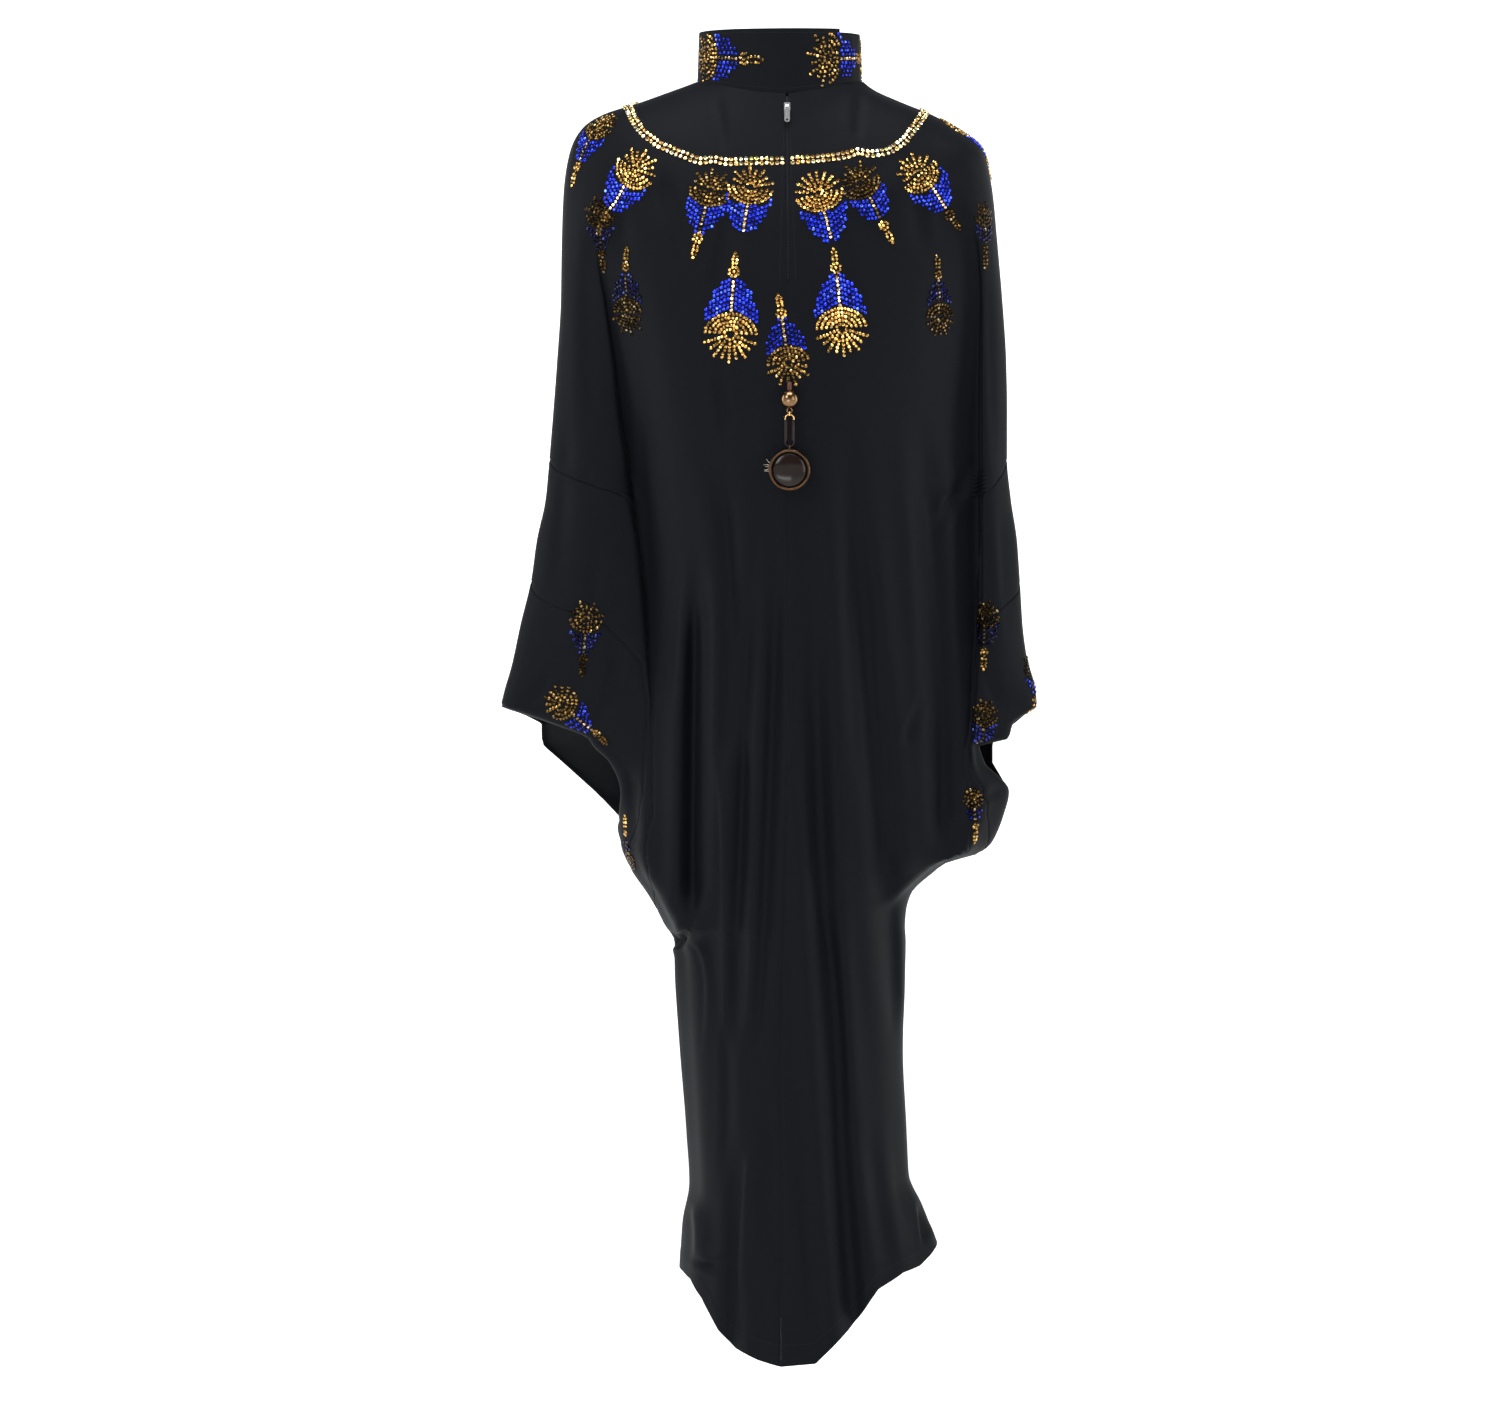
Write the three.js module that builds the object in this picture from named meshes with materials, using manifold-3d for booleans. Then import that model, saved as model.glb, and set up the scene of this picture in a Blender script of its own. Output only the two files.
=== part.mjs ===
// A butterfly abaya, filled out and hollow, as it hangs from the wearer's neck and shoulders.
// Millimetres, +Z up, +X to the right of a viewer in front of it, the front faces -Y.
// The origin is the middle of the neck, at the height of the high shoulder points.
//
// The cloth is one front surface and one back surface. Both are read with two numbers:
// "level" runs down the tables of levels, from the neck (0) to the hem,
// "round" runs across a level: 0 at the left side edge, 7 at the centre, 14 at the right side edge.
import * as THREE from "three";
import { mergeVertices } from "three/addons/utils/BufferGeometryUtils.js";
import Module from "manifold-3d";

// Driving dimensions
const WALL = 1.8; // cloth with its turned-in seams
const SEAM_GAP = 0.44; // between the solids of two pieces sewn together
const SIDE_SHIFT = 0.18; // the front sheet stands this much forward, the back sheet this much back
const NECK = { halfWidth: 87, front: 68, back: 66 };
const SKIRT_TOP = -1090; // below this height the rows turn into the curve of the hem
const SKIRT_END = -1323; // lowest point of the hem, at the centre front
const COLLAR = {
  height: 56, // of the top edge above the origin, at the side of the strip's start
  sideRise: 2, // the top edge stands this much higher at the sides,
  backDip: 3, // this much lower at the back
  endDrop: 4, // and this much lower where the strip ends
  wall: 1.9,
  startAngle: -44, // degrees from +X, seen from above
  lap: 40, // degrees by which the strip overlaps itself
  spiral: 3.2, // how far inside its start the strip ends
  lean: 1.5, // how far the top edge leans in
  lift: 0.9, // above the neck edge of the body
  steps: 44,
};
const ZIP = {
  slit: 1.5, // half width of the slit in the front
  firstLevel: 0.12,
  lastLevel: 7,
  levelStep: 0.68,
  tapeHalf: 9,
  tapeWall: 1.0,
  clear: 0.8, // between the tape and the cloth
  coilHalf: 1.05,
  coilSide: 0.1, // slope of the coil's sides
  coilDepth: 0.6, // of the top of the coil below the face of the cloth
};
const SLIDER = { width: 6.4, length: 9, thick: 1.8, level: 0.6, low: 0.7 };
const LUG = { x: 2.15, wide: 0.9, deep: 2.6, pinHeight: 4.4, over: 0.9 };
const PULL = {
  width: 5.6,
  length: 18.5,
  thick: 1.1,
  knuckle: 1.5,
  knuckleWidth: 2.6,
  bore: 0.85,
  pin: 0.5,
  neckStart: 0.6,
  neckLength: 3.4,
  chamfer: [1, 1.4],
  eye: 1.2,
};
const PENDANT = {
  x: 9.4,
  z: -327.6,
  bead: 9.3,
  eye: 2.5,
  wire: 0.7,
  play: 0.3, // between two wires that are hooked through each other
  sunk: 0.6, // how far an eye is let into what carries it
  linkWidth: 10.4,
  linkLength: 33,
};
const MEDALLION = { radius: 21.6, dome: 4.6, rim: 2.9, play: 0.35 };
const CENTRE_LINE = [
  { z: 20, x: 7 },
  { z: -600, x: 9 },
  { z: -845, x: 5 },
  { z: -1022, x: 0 },
  { z: -1400, x: 1 },
];

// Height of each level at the side edges (side), at the centre front and at the centre back,
// with the depth of the body there. The rows below SKIRT_TOP are bent to the curve of the hem.
const LEVELS = [
  { side: 6, front: -9, back: 12, frontDepth: 68, backDepth: 66 },
  { side: -2, front: -34, back: -14, frontDepth: 77, backDepth: 80 },
  { side: -15, front: -62, back: -42, frontDepth: 88, backDepth: 96 },
  { side: -27, front: -90, back: -72, frontDepth: 99, backDepth: 107 },
  { side: -40, front: -114, back: -100, frontDepth: 107, backDepth: 114 },
  { side: -64, front: -138, back: -128, frontDepth: 114, backDepth: 118 },
  { side: -106, front: -168, back: -160, frontDepth: 120, backDepth: 121 },
  { side: -158, front: -205, back: -200, frontDepth: 126, backDepth: 122 },
  { side: -220, front: -250, back: -248, frontDepth: 130, backDepth: 121 },
  { side: -283, front: -300, back: -298, frontDepth: 133, backDepth: 118 },
  { side: -335, front: -342, back: -341, frontDepth: 133, backDepth: 115 },
  { side: -385, front: -387, back: -387, frontDepth: 132, backDepth: 112 },
  { side: -428, front: -428, back: -428, frontDepth: 131, backDepth: 110 },
  { side: -470, front: -470, back: -470, frontDepth: 130, backDepth: 109 },
  { side: -512, front: -512, back: -512, frontDepth: 129, backDepth: 109 },
  { side: -558, front: -558, back: -558, frontDepth: 128, backDepth: 110 },
  { side: -600, front: -600, back: -600, frontDepth: 128, backDepth: 112 },
  { side: -628, front: -628, back: -628, frontDepth: 128, backDepth: 113 },
  { side: -642, front: -642, back: -642, frontDepth: 128, backDepth: 113 },
  { side: -650, front: -650, back: -650, frontDepth: 128, backDepth: 113 },
  { side: -660, front: -660, back: -660, frontDepth: 128, backDepth: 113 },
  { side: -676, front: -676, back: -676, frontDepth: 128, backDepth: 114 },
  { side: -684, front: -684, back: -684, frontDepth: 128, backDepth: 114 },
  { side: -702, front: -702, back: -702, frontDepth: 128, backDepth: 115 },
  { side: -731, front: -731, back: -731, frontDepth: 128, backDepth: 115 },
  { side: -757, front: -757, back: -757, frontDepth: 128, backDepth: 115 },
  { side: -787, front: -787, back: -787, frontDepth: 127, backDepth: 115 },
  { side: -797, front: -797, back: -797, frontDepth: 127, backDepth: 115 },
  { side: -805, front: -805, back: -805, frontDepth: 127, backDepth: 115 },
  { side: -815, front: -815, back: -815, frontDepth: 127, backDepth: 115 },
  { side: -838, front: -838, back: -838, frontDepth: 126, backDepth: 115 },
  { side: -857, front: -857, back: -857, frontDepth: 125, backDepth: 115 },
  { side: -873, front: -873, back: -873, frontDepth: 125, backDepth: 114 },
  { side: -888, front: -888, back: -888, frontDepth: 124, backDepth: 114 },
  { side: -925, front: -925, back: -925, frontDepth: 122, backDepth: 113 },
  { side: -1000, front: -1000, back: -1000, frontDepth: 120, backDepth: 112 },
  { side: -1090, front: -1090, back: -1090, frontDepth: 120, backDepth: 113 },
  { side: -1172, front: -1172, back: -1172, frontDepth: 121, backDepth: 115 },
  { side: -1242, front: -1242, back: -1242, frontDepth: 122, backDepth: 117 },
  { side: -1323, front: -1323, back: -1323, frontDepth: 124, backDepth: 118 },
];

// One row for each level. "edge" is how far the side edge lies from the middle; the other columns
// are the front of the arm, the sleeve's inner fold, the valley behind it and the body beside it,
// as distance from the middle (x) or distance forward (y). A row with only an edge is round.
const LEFT = [
  { edge: 87 },
  { edge: 110 },
  { edge: 146 },
  { edge: 183 },
  { edge: 204 },
  { edge: 218 },
  { edge: 225, armY: 53, foldX: 182, foldY: 70, valleyX: 158, valleyY: 82, bodyY: 106 },
  { edge: 227, armY: 50, foldX: 192, foldY: 60, valleyX: 180, valleyY: 62, bodyY: 102 },
  { edge: 228, armY: 47, foldX: 184, foldY: 55, valleyX: 174, valleyY: 52, bodyY: 102 },
  { edge: 232, armY: 46, foldX: 176, foldY: 51, valleyX: 166, valleyY: 45, bodyY: 101 },
  { edge: 236, armY: 46, foldX: 171, foldY: 49, valleyX: 160, valleyY: 40, bodyY: 99 },
  { edge: 240, armY: 46, foldX: 164, foldY: 49, valleyX: 153, valleyY: 38, bodyY: 97 },
  { edge: 244, armY: 47, foldX: 159, foldY: 49, valleyX: 148, valleyY: 38, bodyY: 95 },
  { edge: 253, armY: 48, foldX: 154, foldY: 50, valleyX: 143, valleyY: 39, bodyY: 93 },
  { edge: 259, armY: 49, foldX: 150, foldY: 52, valleyX: 138, valleyY: 42, bodyY: 92 },
  { edge: 270, armY: 50, foldX: 147, foldY: 54, valleyX: 135, valleyY: 46, bodyY: 92 },
  { edge: 279, armY: 50, foldX: 145, foldY: 57, valleyX: 132, valleyY: 53, bodyY: 92 },
  { edge: 287, armY: 46, foldX: 143, foldY: 59, valleyX: 130, valleyY: 59, bodyY: 92 },
  { edge: 290, armY: 44, foldX: 142, foldY: 60, valleyX: 129, valleyY: 62, bodyY: 92 },
  { edge: 268, armY: 48, foldX: 142, foldY: 61, valleyX: 129, valleyY: 63, bodyY: 92 },
  { edge: 239, armY: 52, foldX: 142, foldY: 62, valleyX: 129, valleyY: 65, bodyY: 92 },
  { edge: 199, armY: 54, foldX: 142, foldY: 62, valleyX: 129, valleyY: 66, bodyY: 92 },
  { edge: 194, armY: 54, foldX: 142, foldY: 62, valleyX: 129, valleyY: 66, bodyY: 92 },
  { edge: 176, armY: 52, foldX: 143, foldY: 61, valleyX: 129, valleyY: 67, bodyY: 92 },
  { edge: 165, armY: 46, foldX: 142, foldY: 60, valleyX: 129, valleyY: 69, bodyY: 93 },
  { edge: 167, armY: 43, foldX: 144, foldY: 63, valleyX: 130, valleyY: 73, bodyY: 94 },
  { edge: 165, armY: 44, foldX: 144, foldY: 66, valleyX: 129, valleyY: 76, bodyY: 95 },
  { edge: 162, armY: 45, foldX: 142, foldY: 67, valleyX: 127, valleyY: 77, bodyY: 95 },
  { edge: 158, armY: 45, foldX: 140, foldY: 68, valleyX: 125, valleyY: 79, bodyY: 96 },
  { edge: 153, armY: 46, foldX: 136, foldY: 69, valleyX: 121, valleyY: 80, bodyY: 97 },
  { edge: 137, armY: 48, foldX: 122, foldY: 73, valleyX: 109, valleyY: 84, bodyY: 98 },
  { edge: 126, armY: 50, foldX: 113, foldY: 76, valleyX: 101, valleyY: 88, bodyY: 100 },
  { edge: 118, armY: 46, foldX: 104, foldY: 75, valleyX: 93, valleyY: 88, bodyY: 101 },
  { edge: 110, armY: 34, foldX: 92, foldY: 57, valleyX: 76, valleyY: 74, bodyY: 97 },
  { edge: 109, armY: 44, foldX: 86, foldY: 66, valleyX: 68, valleyY: 84, bodyY: 104 },
  { edge: 104 },
  { edge: 97 },
  { edge: 94 },
  { edge: 101 },
  { edge: 104 },
];
const RIGHT = [
  { edge: 87 },
  { edge: 98 },
  { edge: 127 },
  { edge: 157 },
  { edge: 181 },
  { edge: 211, armY: 52, foldX: 178, foldY: 66, valleyX: 150, valleyY: 84, bodyY: 100 },
  { edge: 221, armY: 47, foldX: 196, foldY: 60, valleyX: 178, valleyY: 64, bodyY: 94 },
  { edge: 226, armY: 40, foldX: 208, foldY: 51, valleyX: 196, valleyY: 48, bodyY: 92 },
  { edge: 231, armY: 36, foldX: 211, foldY: 44, valleyX: 199, valleyY: 39, bodyY: 91 },
  { edge: 235, armY: 34, foldX: 211, foldY: 42, valleyX: 199, valleyY: 34, bodyY: 89 },
  { edge: 236, armY: 34, foldX: 211, foldY: 42, valleyX: 199, valleyY: 31, bodyY: 87 },
  { edge: 236, armY: 34, foldX: 211, foldY: 42, valleyX: 199, valleyY: 30, bodyY: 86 },
  { edge: 240, armY: 36, foldX: 211, foldY: 43, valleyX: 199, valleyY: 30, bodyY: 86 },
  { edge: 246, armY: 38, foldX: 211, foldY: 45, valleyX: 199, valleyY: 31, bodyY: 86 },
  { edge: 249, armY: 40, foldX: 211, foldY: 46, valleyX: 198, valleyY: 32, bodyY: 86 },
  { edge: 252, armY: 42, foldX: 210, foldY: 47, valleyX: 197, valleyY: 34, bodyY: 86 },
  { edge: 258, armY: 43, foldX: 208, foldY: 49, valleyX: 195, valleyY: 37, bodyY: 87 },
  { edge: 266, armY: 40, foldX: 206, foldY: 50, valleyX: 194, valleyY: 40, bodyY: 87 },
  { edge: 267, armY: 38, foldX: 205, foldY: 51, valleyX: 193, valleyY: 42, bodyY: 87 },
  { edge: 256, armY: 40, foldX: 205, foldY: 51, valleyX: 193, valleyY: 43, bodyY: 87 },
  { edge: 242, armY: 43, foldX: 204, foldY: 52, valleyX: 192, valleyY: 45, bodyY: 87 },
  { edge: 236, armY: 46, foldX: 202, foldY: 52, valleyX: 190, valleyY: 47, bodyY: 87 },
  { edge: 206, armY: 46, foldX: 198, foldY: 52, valleyX: 188, valleyY: 48, bodyY: 87 },
  { edge: 212, armY: 46, foldX: 199, foldY: 54, valleyX: 186, valleyY: 52, bodyY: 87 },
  { edge: 238, armY: 38, foldX: 207, foldY: 54, valleyX: 189, valleyY: 54, bodyY: 87 },
  { edge: 232, armY: 40, foldX: 204, foldY: 56, valleyX: 186, valleyY: 58, bodyY: 88 },
  { edge: 218, armY: 42, foldX: 195, foldY: 60, valleyX: 178, valleyY: 64, bodyY: 90 },
  { edge: 203, armY: 44, foldX: 183, foldY: 62, valleyX: 167, valleyY: 67, bodyY: 92 },
  { edge: 174, armY: 45, foldX: 160, foldY: 64, valleyX: 147, valleyY: 72, bodyY: 95 },
  { edge: 160, armY: 40, foldX: 146, foldY: 60, valleyX: 133, valleyY: 72, bodyY: 97 },
  { edge: 136, armY: 46, foldX: 120, foldY: 66, valleyX: 105, valleyY: 80, bodyY: 102 },
  { edge: 131 },
  { edge: 130 },
  { edge: 131 },
  { edge: 130 },
  { edge: 128 },
  { edge: 132 },
  { edge: 134 },
  { edge: 148 },
  { edge: 163 },
];

// The slit for the hand: where the front and back edges part, with the back layer's own edge
// and how far each edge stands from the middle plane.
const LEFT_SLIT = [
  { side: -642, backEdge: 290, frontLip: 0, backLip: 0 },
  { side: -650, backEdge: 268, frontLip: 9, backLip: 8 },
  { side: -660, backEdge: 248, frontLip: 18, backLip: 16 },
  { side: -676, backEdge: 248, frontLip: 29, backLip: 26 },
  { side: -684, backEdge: 246, frontLip: 32, backLip: 29 },
  { side: -702, backEdge: 225, frontLip: 35, backLip: 31 },
  { side: -731, backEdge: 192, frontLip: 24, backLip: 22 },
  { side: -757, backEdge: 167, frontLip: 0, backLip: 0 },
];
const RIGHT_SLIT = [
  { side: -642, backEdge: 267, frontLip: 0, backLip: 0 },
  { side: -650, backEdge: 256, frontLip: 9, backLip: 8 },
  { side: -660, backEdge: 244, frontLip: 18, backLip: 16 },
  { side: -676, backEdge: 222, frontLip: 30, backLip: 26 },
  { side: -684, backEdge: 221, frontLip: 34, backLip: 28 },
  { side: -702, backEdge: 221, frontLip: 28, backLip: 26 },
  { side: -731, backEdge: 238, frontLip: 0, backLip: 0 },
];

// Height of the hem across the front and the back, one column for each whole "round".
const HEM_FRONT = [
  -1225, -1229, -1236, -1254, -1286, -1305, -1316, -1323, -1320, -1286, -1244, -1228, -1222, -1207, -1198,
];
const HEM_BACK = [
  -1225, -1228, -1234, -1246, -1262, -1274, -1282, -1285, -1280, -1268, -1250, -1234, -1222, -1207, -1198,
];

// The largest folds: soft troughs that run from "top" to "bottom" through three distances
// from the middle. "wide" is the half width of a trough, "deep" how far it goes in.
const FRONT_FOLDS = [
  { top: -477, bottom: -872, x0: -85, x1: -88, x2: -90, wide: 10, deep: 17 },
  { top: -360, bottom: -715, x0: -71, x1: -50, x2: -60, wide: 10, deep: 7 },
  { top: -440, bottom: -1010, x0: -23, x1: -38, x2: -44, wide: 9, deep: 9 },
  { top: -430, bottom: -1020, x0: -4, x1: -12, x2: -26, wide: 8, deep: 7 },
  { top: -430, bottom: -1500, x0: 29, x1: 52, x2: 98, wide: 11, deep: 12 },
  { top: -330, bottom: -1010, x0: 62, x1: 96, x2: 124, wide: 12, deep: 10 },
  { top: -320, bottom: -812, x0: 142, x1: 162, x2: 168, wide: 11, deep: 11 },
  { top: -1060, bottom: -1500, x0: -43, x1: -48, x2: -55, wide: 9, deep: 7 },
];
const BACK_FOLDS = [
  { top: -300, bottom: -880, x0: -108, x1: -104, x2: -92, wide: 14, deep: 16 },
  { top: -260, bottom: -1500, x0: -58, x1: -46, x2: -62, wide: 13, deep: 10 },
  { top: -420, bottom: -1080, x0: -16, x1: -8, x2: -14, wide: 11, deep: 8 },
  { top: -340, bottom: -1500, x0: 30, x1: 36, x2: 58, wide: 13, deep: 11 },
  { top: -280, bottom: -960, x0: 84, x1: 82, x2: 92, wide: 12, deep: 9 },
  { top: -320, bottom: -812, x0: 146, x1: 150, x2: 150, wide: 13, deep: 13 },
];

// Sleeve seams: "across" is the round count from the side edge, at heights of the side edge.
const SEAM_TIP = 0.14;
const LEFT_ELBOW = [
  { side: -385, across: SEAM_TIP },
  { side: -428, across: 3.1 },
  { side: -512, across: 3.8 },
  { side: -757, across: 3.9 },
  { side: -815, across: 3.0 },
  { side: -838, across: 1.8 },
  { side: -857, across: SEAM_TIP },
];
const LEFT_CUFF = [
  { side: -512, across: SEAM_TIP },
  { side: -558, across: 2.4 },
  { side: -600, across: 3.05 },
  { side: -702, across: 3.2 },
  { side: -757, across: 2.8 },
  { side: -787, across: 1.8 },
  { side: -815, across: SEAM_TIP },
];
const RIGHT_ELBOW = [
  { side: -385, across: SEAM_TIP },
  { side: -428, across: 3.3 },
  { side: -512, across: 3.8 },
  { side: -731, across: 3.9 },
  { side: -787, across: 3.0 },
  { side: -797, across: 2.2 },
  { side: -815, across: SEAM_TIP },
];
const RIGHT_CUFF = [
  { side: -512, across: SEAM_TIP },
  { side: -558, across: 3.1 },
  { side: -702, across: 3.25 },
  { side: -757, across: 2.3 },
  { side: -787, across: 1.1 },
  { side: -797, across: SEAM_TIP },
];

const COLORS = {
  cloth: { color: 0x17191c, roughness: 0.82, metalness: 0 },
  zip: { color: 0x0d0e10, roughness: 0.5, metalness: 0 },
  silver: { color: 0xb9bcc0, roughness: 0.25, metalness: 1 },
  gold: { color: 0xc08a4a, roughness: 0.28, metalness: 1 },
  dark: { color: 0x1b1512, roughness: 0.3, metalness: 0.2 },
};

const wasm = await Module();
wasm.setup();
const { Manifold, Mesh } = wasm;

// A smooth curve through values at whole numbers, which never overshoots them.
function curve(values) {
  const last = values.length - 1;
  const step = (i) => values[i + 1] - values[i];
  const slope = (i) => {
    if (i === 0) return step(0);
    if (i === last) return step(last - 1);
    const before = step(i - 1);
    const after = step(i);
    return before * after <= 0 ? 0 : (2 * before * after) / (before + after);
  };
  return (at) => {
    const i = Math.min(last - 1, Math.max(0, Math.floor(at)));
    const f = at - i;
    const ease = f * f * (3 - 2 * f);
    const start = f * (1 - f) * (1 - f) * slope(i);
    const finish = f * f * (1 - f) * slope(i + 1);
    return values[i] + ease * (values[i + 1] - values[i]) + start - finish;
  };
}

// Straight interpolation in a table of rows, down the named column.
function lookUp(rows, key, column, at) {
  const down = rows[0][key] > rows[rows.length - 1][key];
  let i = 0;
  while (i < rows.length - 2 && (down ? at < rows[i + 1][key] : at > rows[i + 1][key])) i += 1;
  const a = rows[i];
  const b = rows[i + 1];
  const f = Math.min(1, Math.max(0, (at - a[key]) / (b[key] - a[key])));
  return a[column] + f * (b[column] - a[column]);
}

// A row that gives only its edge is a quarter of an ellipse.
function fullRow(row, depth) {
  const round = {
    armY: 0.434 * depth,
    foldX: 0.78 * row.edge,
    foldY: 0.62 * depth,
    valleyX: 0.62 * row.edge,
    valleyY: 0.78 * depth,
    bodyY: 0.9 * depth,
  };
  return { ...round, ...row };
}

function columnCurves(rows) {
  const full = rows.map((row, i) => fullRow(row, LEVELS[i].frontDepth));
  const columns = {};
  for (const key of ["edge", "armY", "foldX", "foldY", "valleyX", "valleyY", "bodyY"])
    columns[key] = curve(full.map((row) => row[key]));
  return columns;
}

const level = {};
for (const key of ["side", "front", "back", "frontDepth", "backDepth"])
  level[key] = curve(LEVELS.map((row) => row[key]));
const sides = {
  left: { sign: -1, columns: columnCurves(LEFT), slit: LEFT_SLIT },
  right: { sign: 1, columns: columnCurves(RIGHT), slit: RIGHT_SLIT },
};

// The eight anchors of half a level, from the side edge to the centre, as [x, distance out].
function halfAnchors(side, isBack, at) {
  const c = side.columns;
  const z = level.side(at);
  const depth = level.frontDepth(at);
  const ratio = isBack ? level.backDepth(at) / depth : 1;
  const inSlit = z < side.slit[0].side && z > side.slit[side.slit.length - 1].side;
  const lip = inSlit ? lookUp(side.slit, "side", isBack ? "backLip" : "frontLip", z) : 0;
  const edge = isBack && inSlit ? lookUp(side.slit, "side", "backEdge", z) : c.edge(at);
  const armY = c.armY(at);
  const fold = [c.foldX(at), c.foldY(at)];
  const valley = [c.valleyX(at), c.valleyY(at)];
  const bodyY = c.bodyY(at) * ratio;
  return [
    [edge, lip],
    [edge - 0.1 * (edge - fold[0]), lip + 0.5 * (armY - lip)],
    [(edge + fold[0]) / 2, Math.max(armY, lip)],
    fold,
    [valley[0], valley[1] * (0.5 + 0.5 * ratio)],
    [0.7 * valley[0], bodyY],
    [0.36 * valley[0], 0.25 * bodyY + 0.75 * depth * ratio],
    [0, depth * ratio],
  ].map(([x, out]) => [side.sign * x, out]);
}

const HEIGHT_SHARE = [0, 0.03, 0.12, 0.28, 0.48, 0.7, 0.9, 1]; // from the side's height to the centre's

// The fifteen anchors of a level as points, with one more past each end for the tangent.
function anchors(isBack, at) {
  const left = halfAnchors(sides.left, isBack, at);
  const right = halfAnchors(sides.right, isBack, at);
  const centre = lookUp(CENTRE_LINE, "z", "x", level.front(at));
  left[7][0] = centre;
  const flat = [...left, ...right.slice(0, 7).reverse()];
  const zSide = level.side(at);
  const zCentre = isBack ? level.back(at) : level.front(at);
  const facing = isBack ? 1 : -1;
  const points = flat.map(([x, out], i) => {
    const share = HEIGHT_SHARE[i < 8 ? i : 14 - i];
    return [x, facing * out, zSide + share * (zCentre - zSide)];
  });
  const beyond = ([x0, y0, z0], [x1, y1, z1]) =>
    Math.abs(y0) < 1 ? [x1, -y1, z1] : [2 * x0 - x1, 2 * y0 - y1, z0];
  return [beyond(points[0], points[1]), ...points, beyond(points[14], points[13])];
}

function spline(points, at) {
  const i = Math.min(points.length - 4, Math.max(0, Math.floor(at)));
  const f = at - i;
  const [a, b, c, d] = points.slice(i, i + 4);
  return a.map(
    (_, k) =>
      b[k] +
      0.5 * f * (c[k] - a[k]) +
      f * f * (a[k] - 2.5 * b[k] + 2 * c[k] - 0.5 * d[k]) +
      f * f * f * (-0.5 * a[k] + 1.5 * b[k] - 1.5 * c[k] + 0.5 * d[k]),
  );
}

const smooth = (low, high, at) => {
  const f = Math.min(1, Math.max(0, (at - low) / (high - low)));
  return f * f * (3 - 2 * f);
};

// How far all the troughs together push the cloth in at a place.
function troughs(folds, x, z) {
  let sum = 0;
  for (const fold of folds) {
    const run = (fold.top - z) / (fold.top - fold.bottom);
    if (run <= 0 || run >= 1) continue;
    const middle =
      fold.x0 * (1 - run) * (1 - 2 * run) + 4 * fold.x1 * run * (1 - run) + fold.x2 * run * (2 * run - 1);
    const off = (x - middle) / fold.wide;
    const fade = smooth(0, 0.3, run) * (1 - smooth(0.86, 1, run));
    sum += fold.deep * fade * (Math.exp(-off * off) - 0.35 * Math.exp(-((Math.abs(off) - 2) ** 2)));
  }
  return sum;
}

const anchorCache = new Map();
function cachedAnchors(isBack, at) {
  const key = (isBack ? "b" : "f") + at.toFixed(5);
  if (!anchorCache.has(key)) anchorCache.set(key, anchors(isBack, at));
  return anchorCache.get(key);
}

// A point of the outer face of the cloth.
function surface(isBack, round, at) {
  const point = spline(cachedAnchors(isBack, at), round);
  const facing = isBack ? 1 : -1;
  if (point[2] < SKIRT_TOP) {
    const hem = isBack ? HEM_BACK : HEM_FRONT;
    const i = Math.min(13, Math.floor(round));
    const hemZ = hem[i] + (round - i) * (hem[i + 1] - hem[i]);
    const share = (SKIRT_TOP - point[2]) / (SKIRT_TOP - SKIRT_END);
    point[2] = SKIRT_TOP + share * (hemZ - SKIRT_TOP);
  }
  const inner = Math.min(1, smooth(0.4, 2.2, Math.min(round, 14 - round)));
  point[1] -= facing * inner * troughs(isBack ? BACK_FOLDS : FRONT_FOLDS, point[0], point[2]);
  point[1] += facing * SIDE_SHIFT;
  return ownSide(isBack, new THREE.Vector3(...point));
}

// Keeps a point on its own side of the middle plane, where the front meets the back.
function ownSide(isBack, point) {
  point.y = isBack ? Math.max(SIDE_SHIFT, point.y) : Math.min(-SIDE_SHIFT, point.y);
  return point;
}

const STEP = 0.02;
const LAST_LEVEL = LEVELS.length - 1;
function tangents(isBack, round, at) {
  const r0 = Math.max(0, round - STEP);
  const r1 = Math.min(14, round + STEP);
  const v0 = Math.max(0, at - STEP);
  const v1 = Math.min(LAST_LEVEL, at + STEP);
  const across = surface(isBack, r1, at).sub(surface(isBack, r0, at)).divideScalar(r1 - r0);
  const down = surface(isBack, round, v1).sub(surface(isBack, round, v0)).divideScalar(v1 - v0);
  return { across, down };
}

function outward(isBack, round, at) {
  const { across, down } = tangents(isBack, round, at);
  const normal = down.clone().cross(across).normalize();
  return isBack ? normal.negate() : normal;
}

// The mesh rows: every level of the tables, one more where two levels lie far apart, and three more
// where a sleeve seam runs across the arm.
const ROW_SPACING = 64;
const SEAM_STARTS = [11, 14];
const meshLevels = [];
for (let i = 0; i <= LAST_LEVEL; i += 1) {
  meshLevels.push(i);
  const far = i < LAST_LEVEL && LEVELS[i].side - LEVELS[i + 1].side > ROW_SPACING;
  if (SEAM_STARTS.includes(i)) meshLevels.push(i + 0.25, i + 0.5, i + 0.75);
  else if (far) meshLevels.push(i + 0.5);
}
const levelAt = (side) => LEVELS.findIndex((row) => row.side === side);

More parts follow.
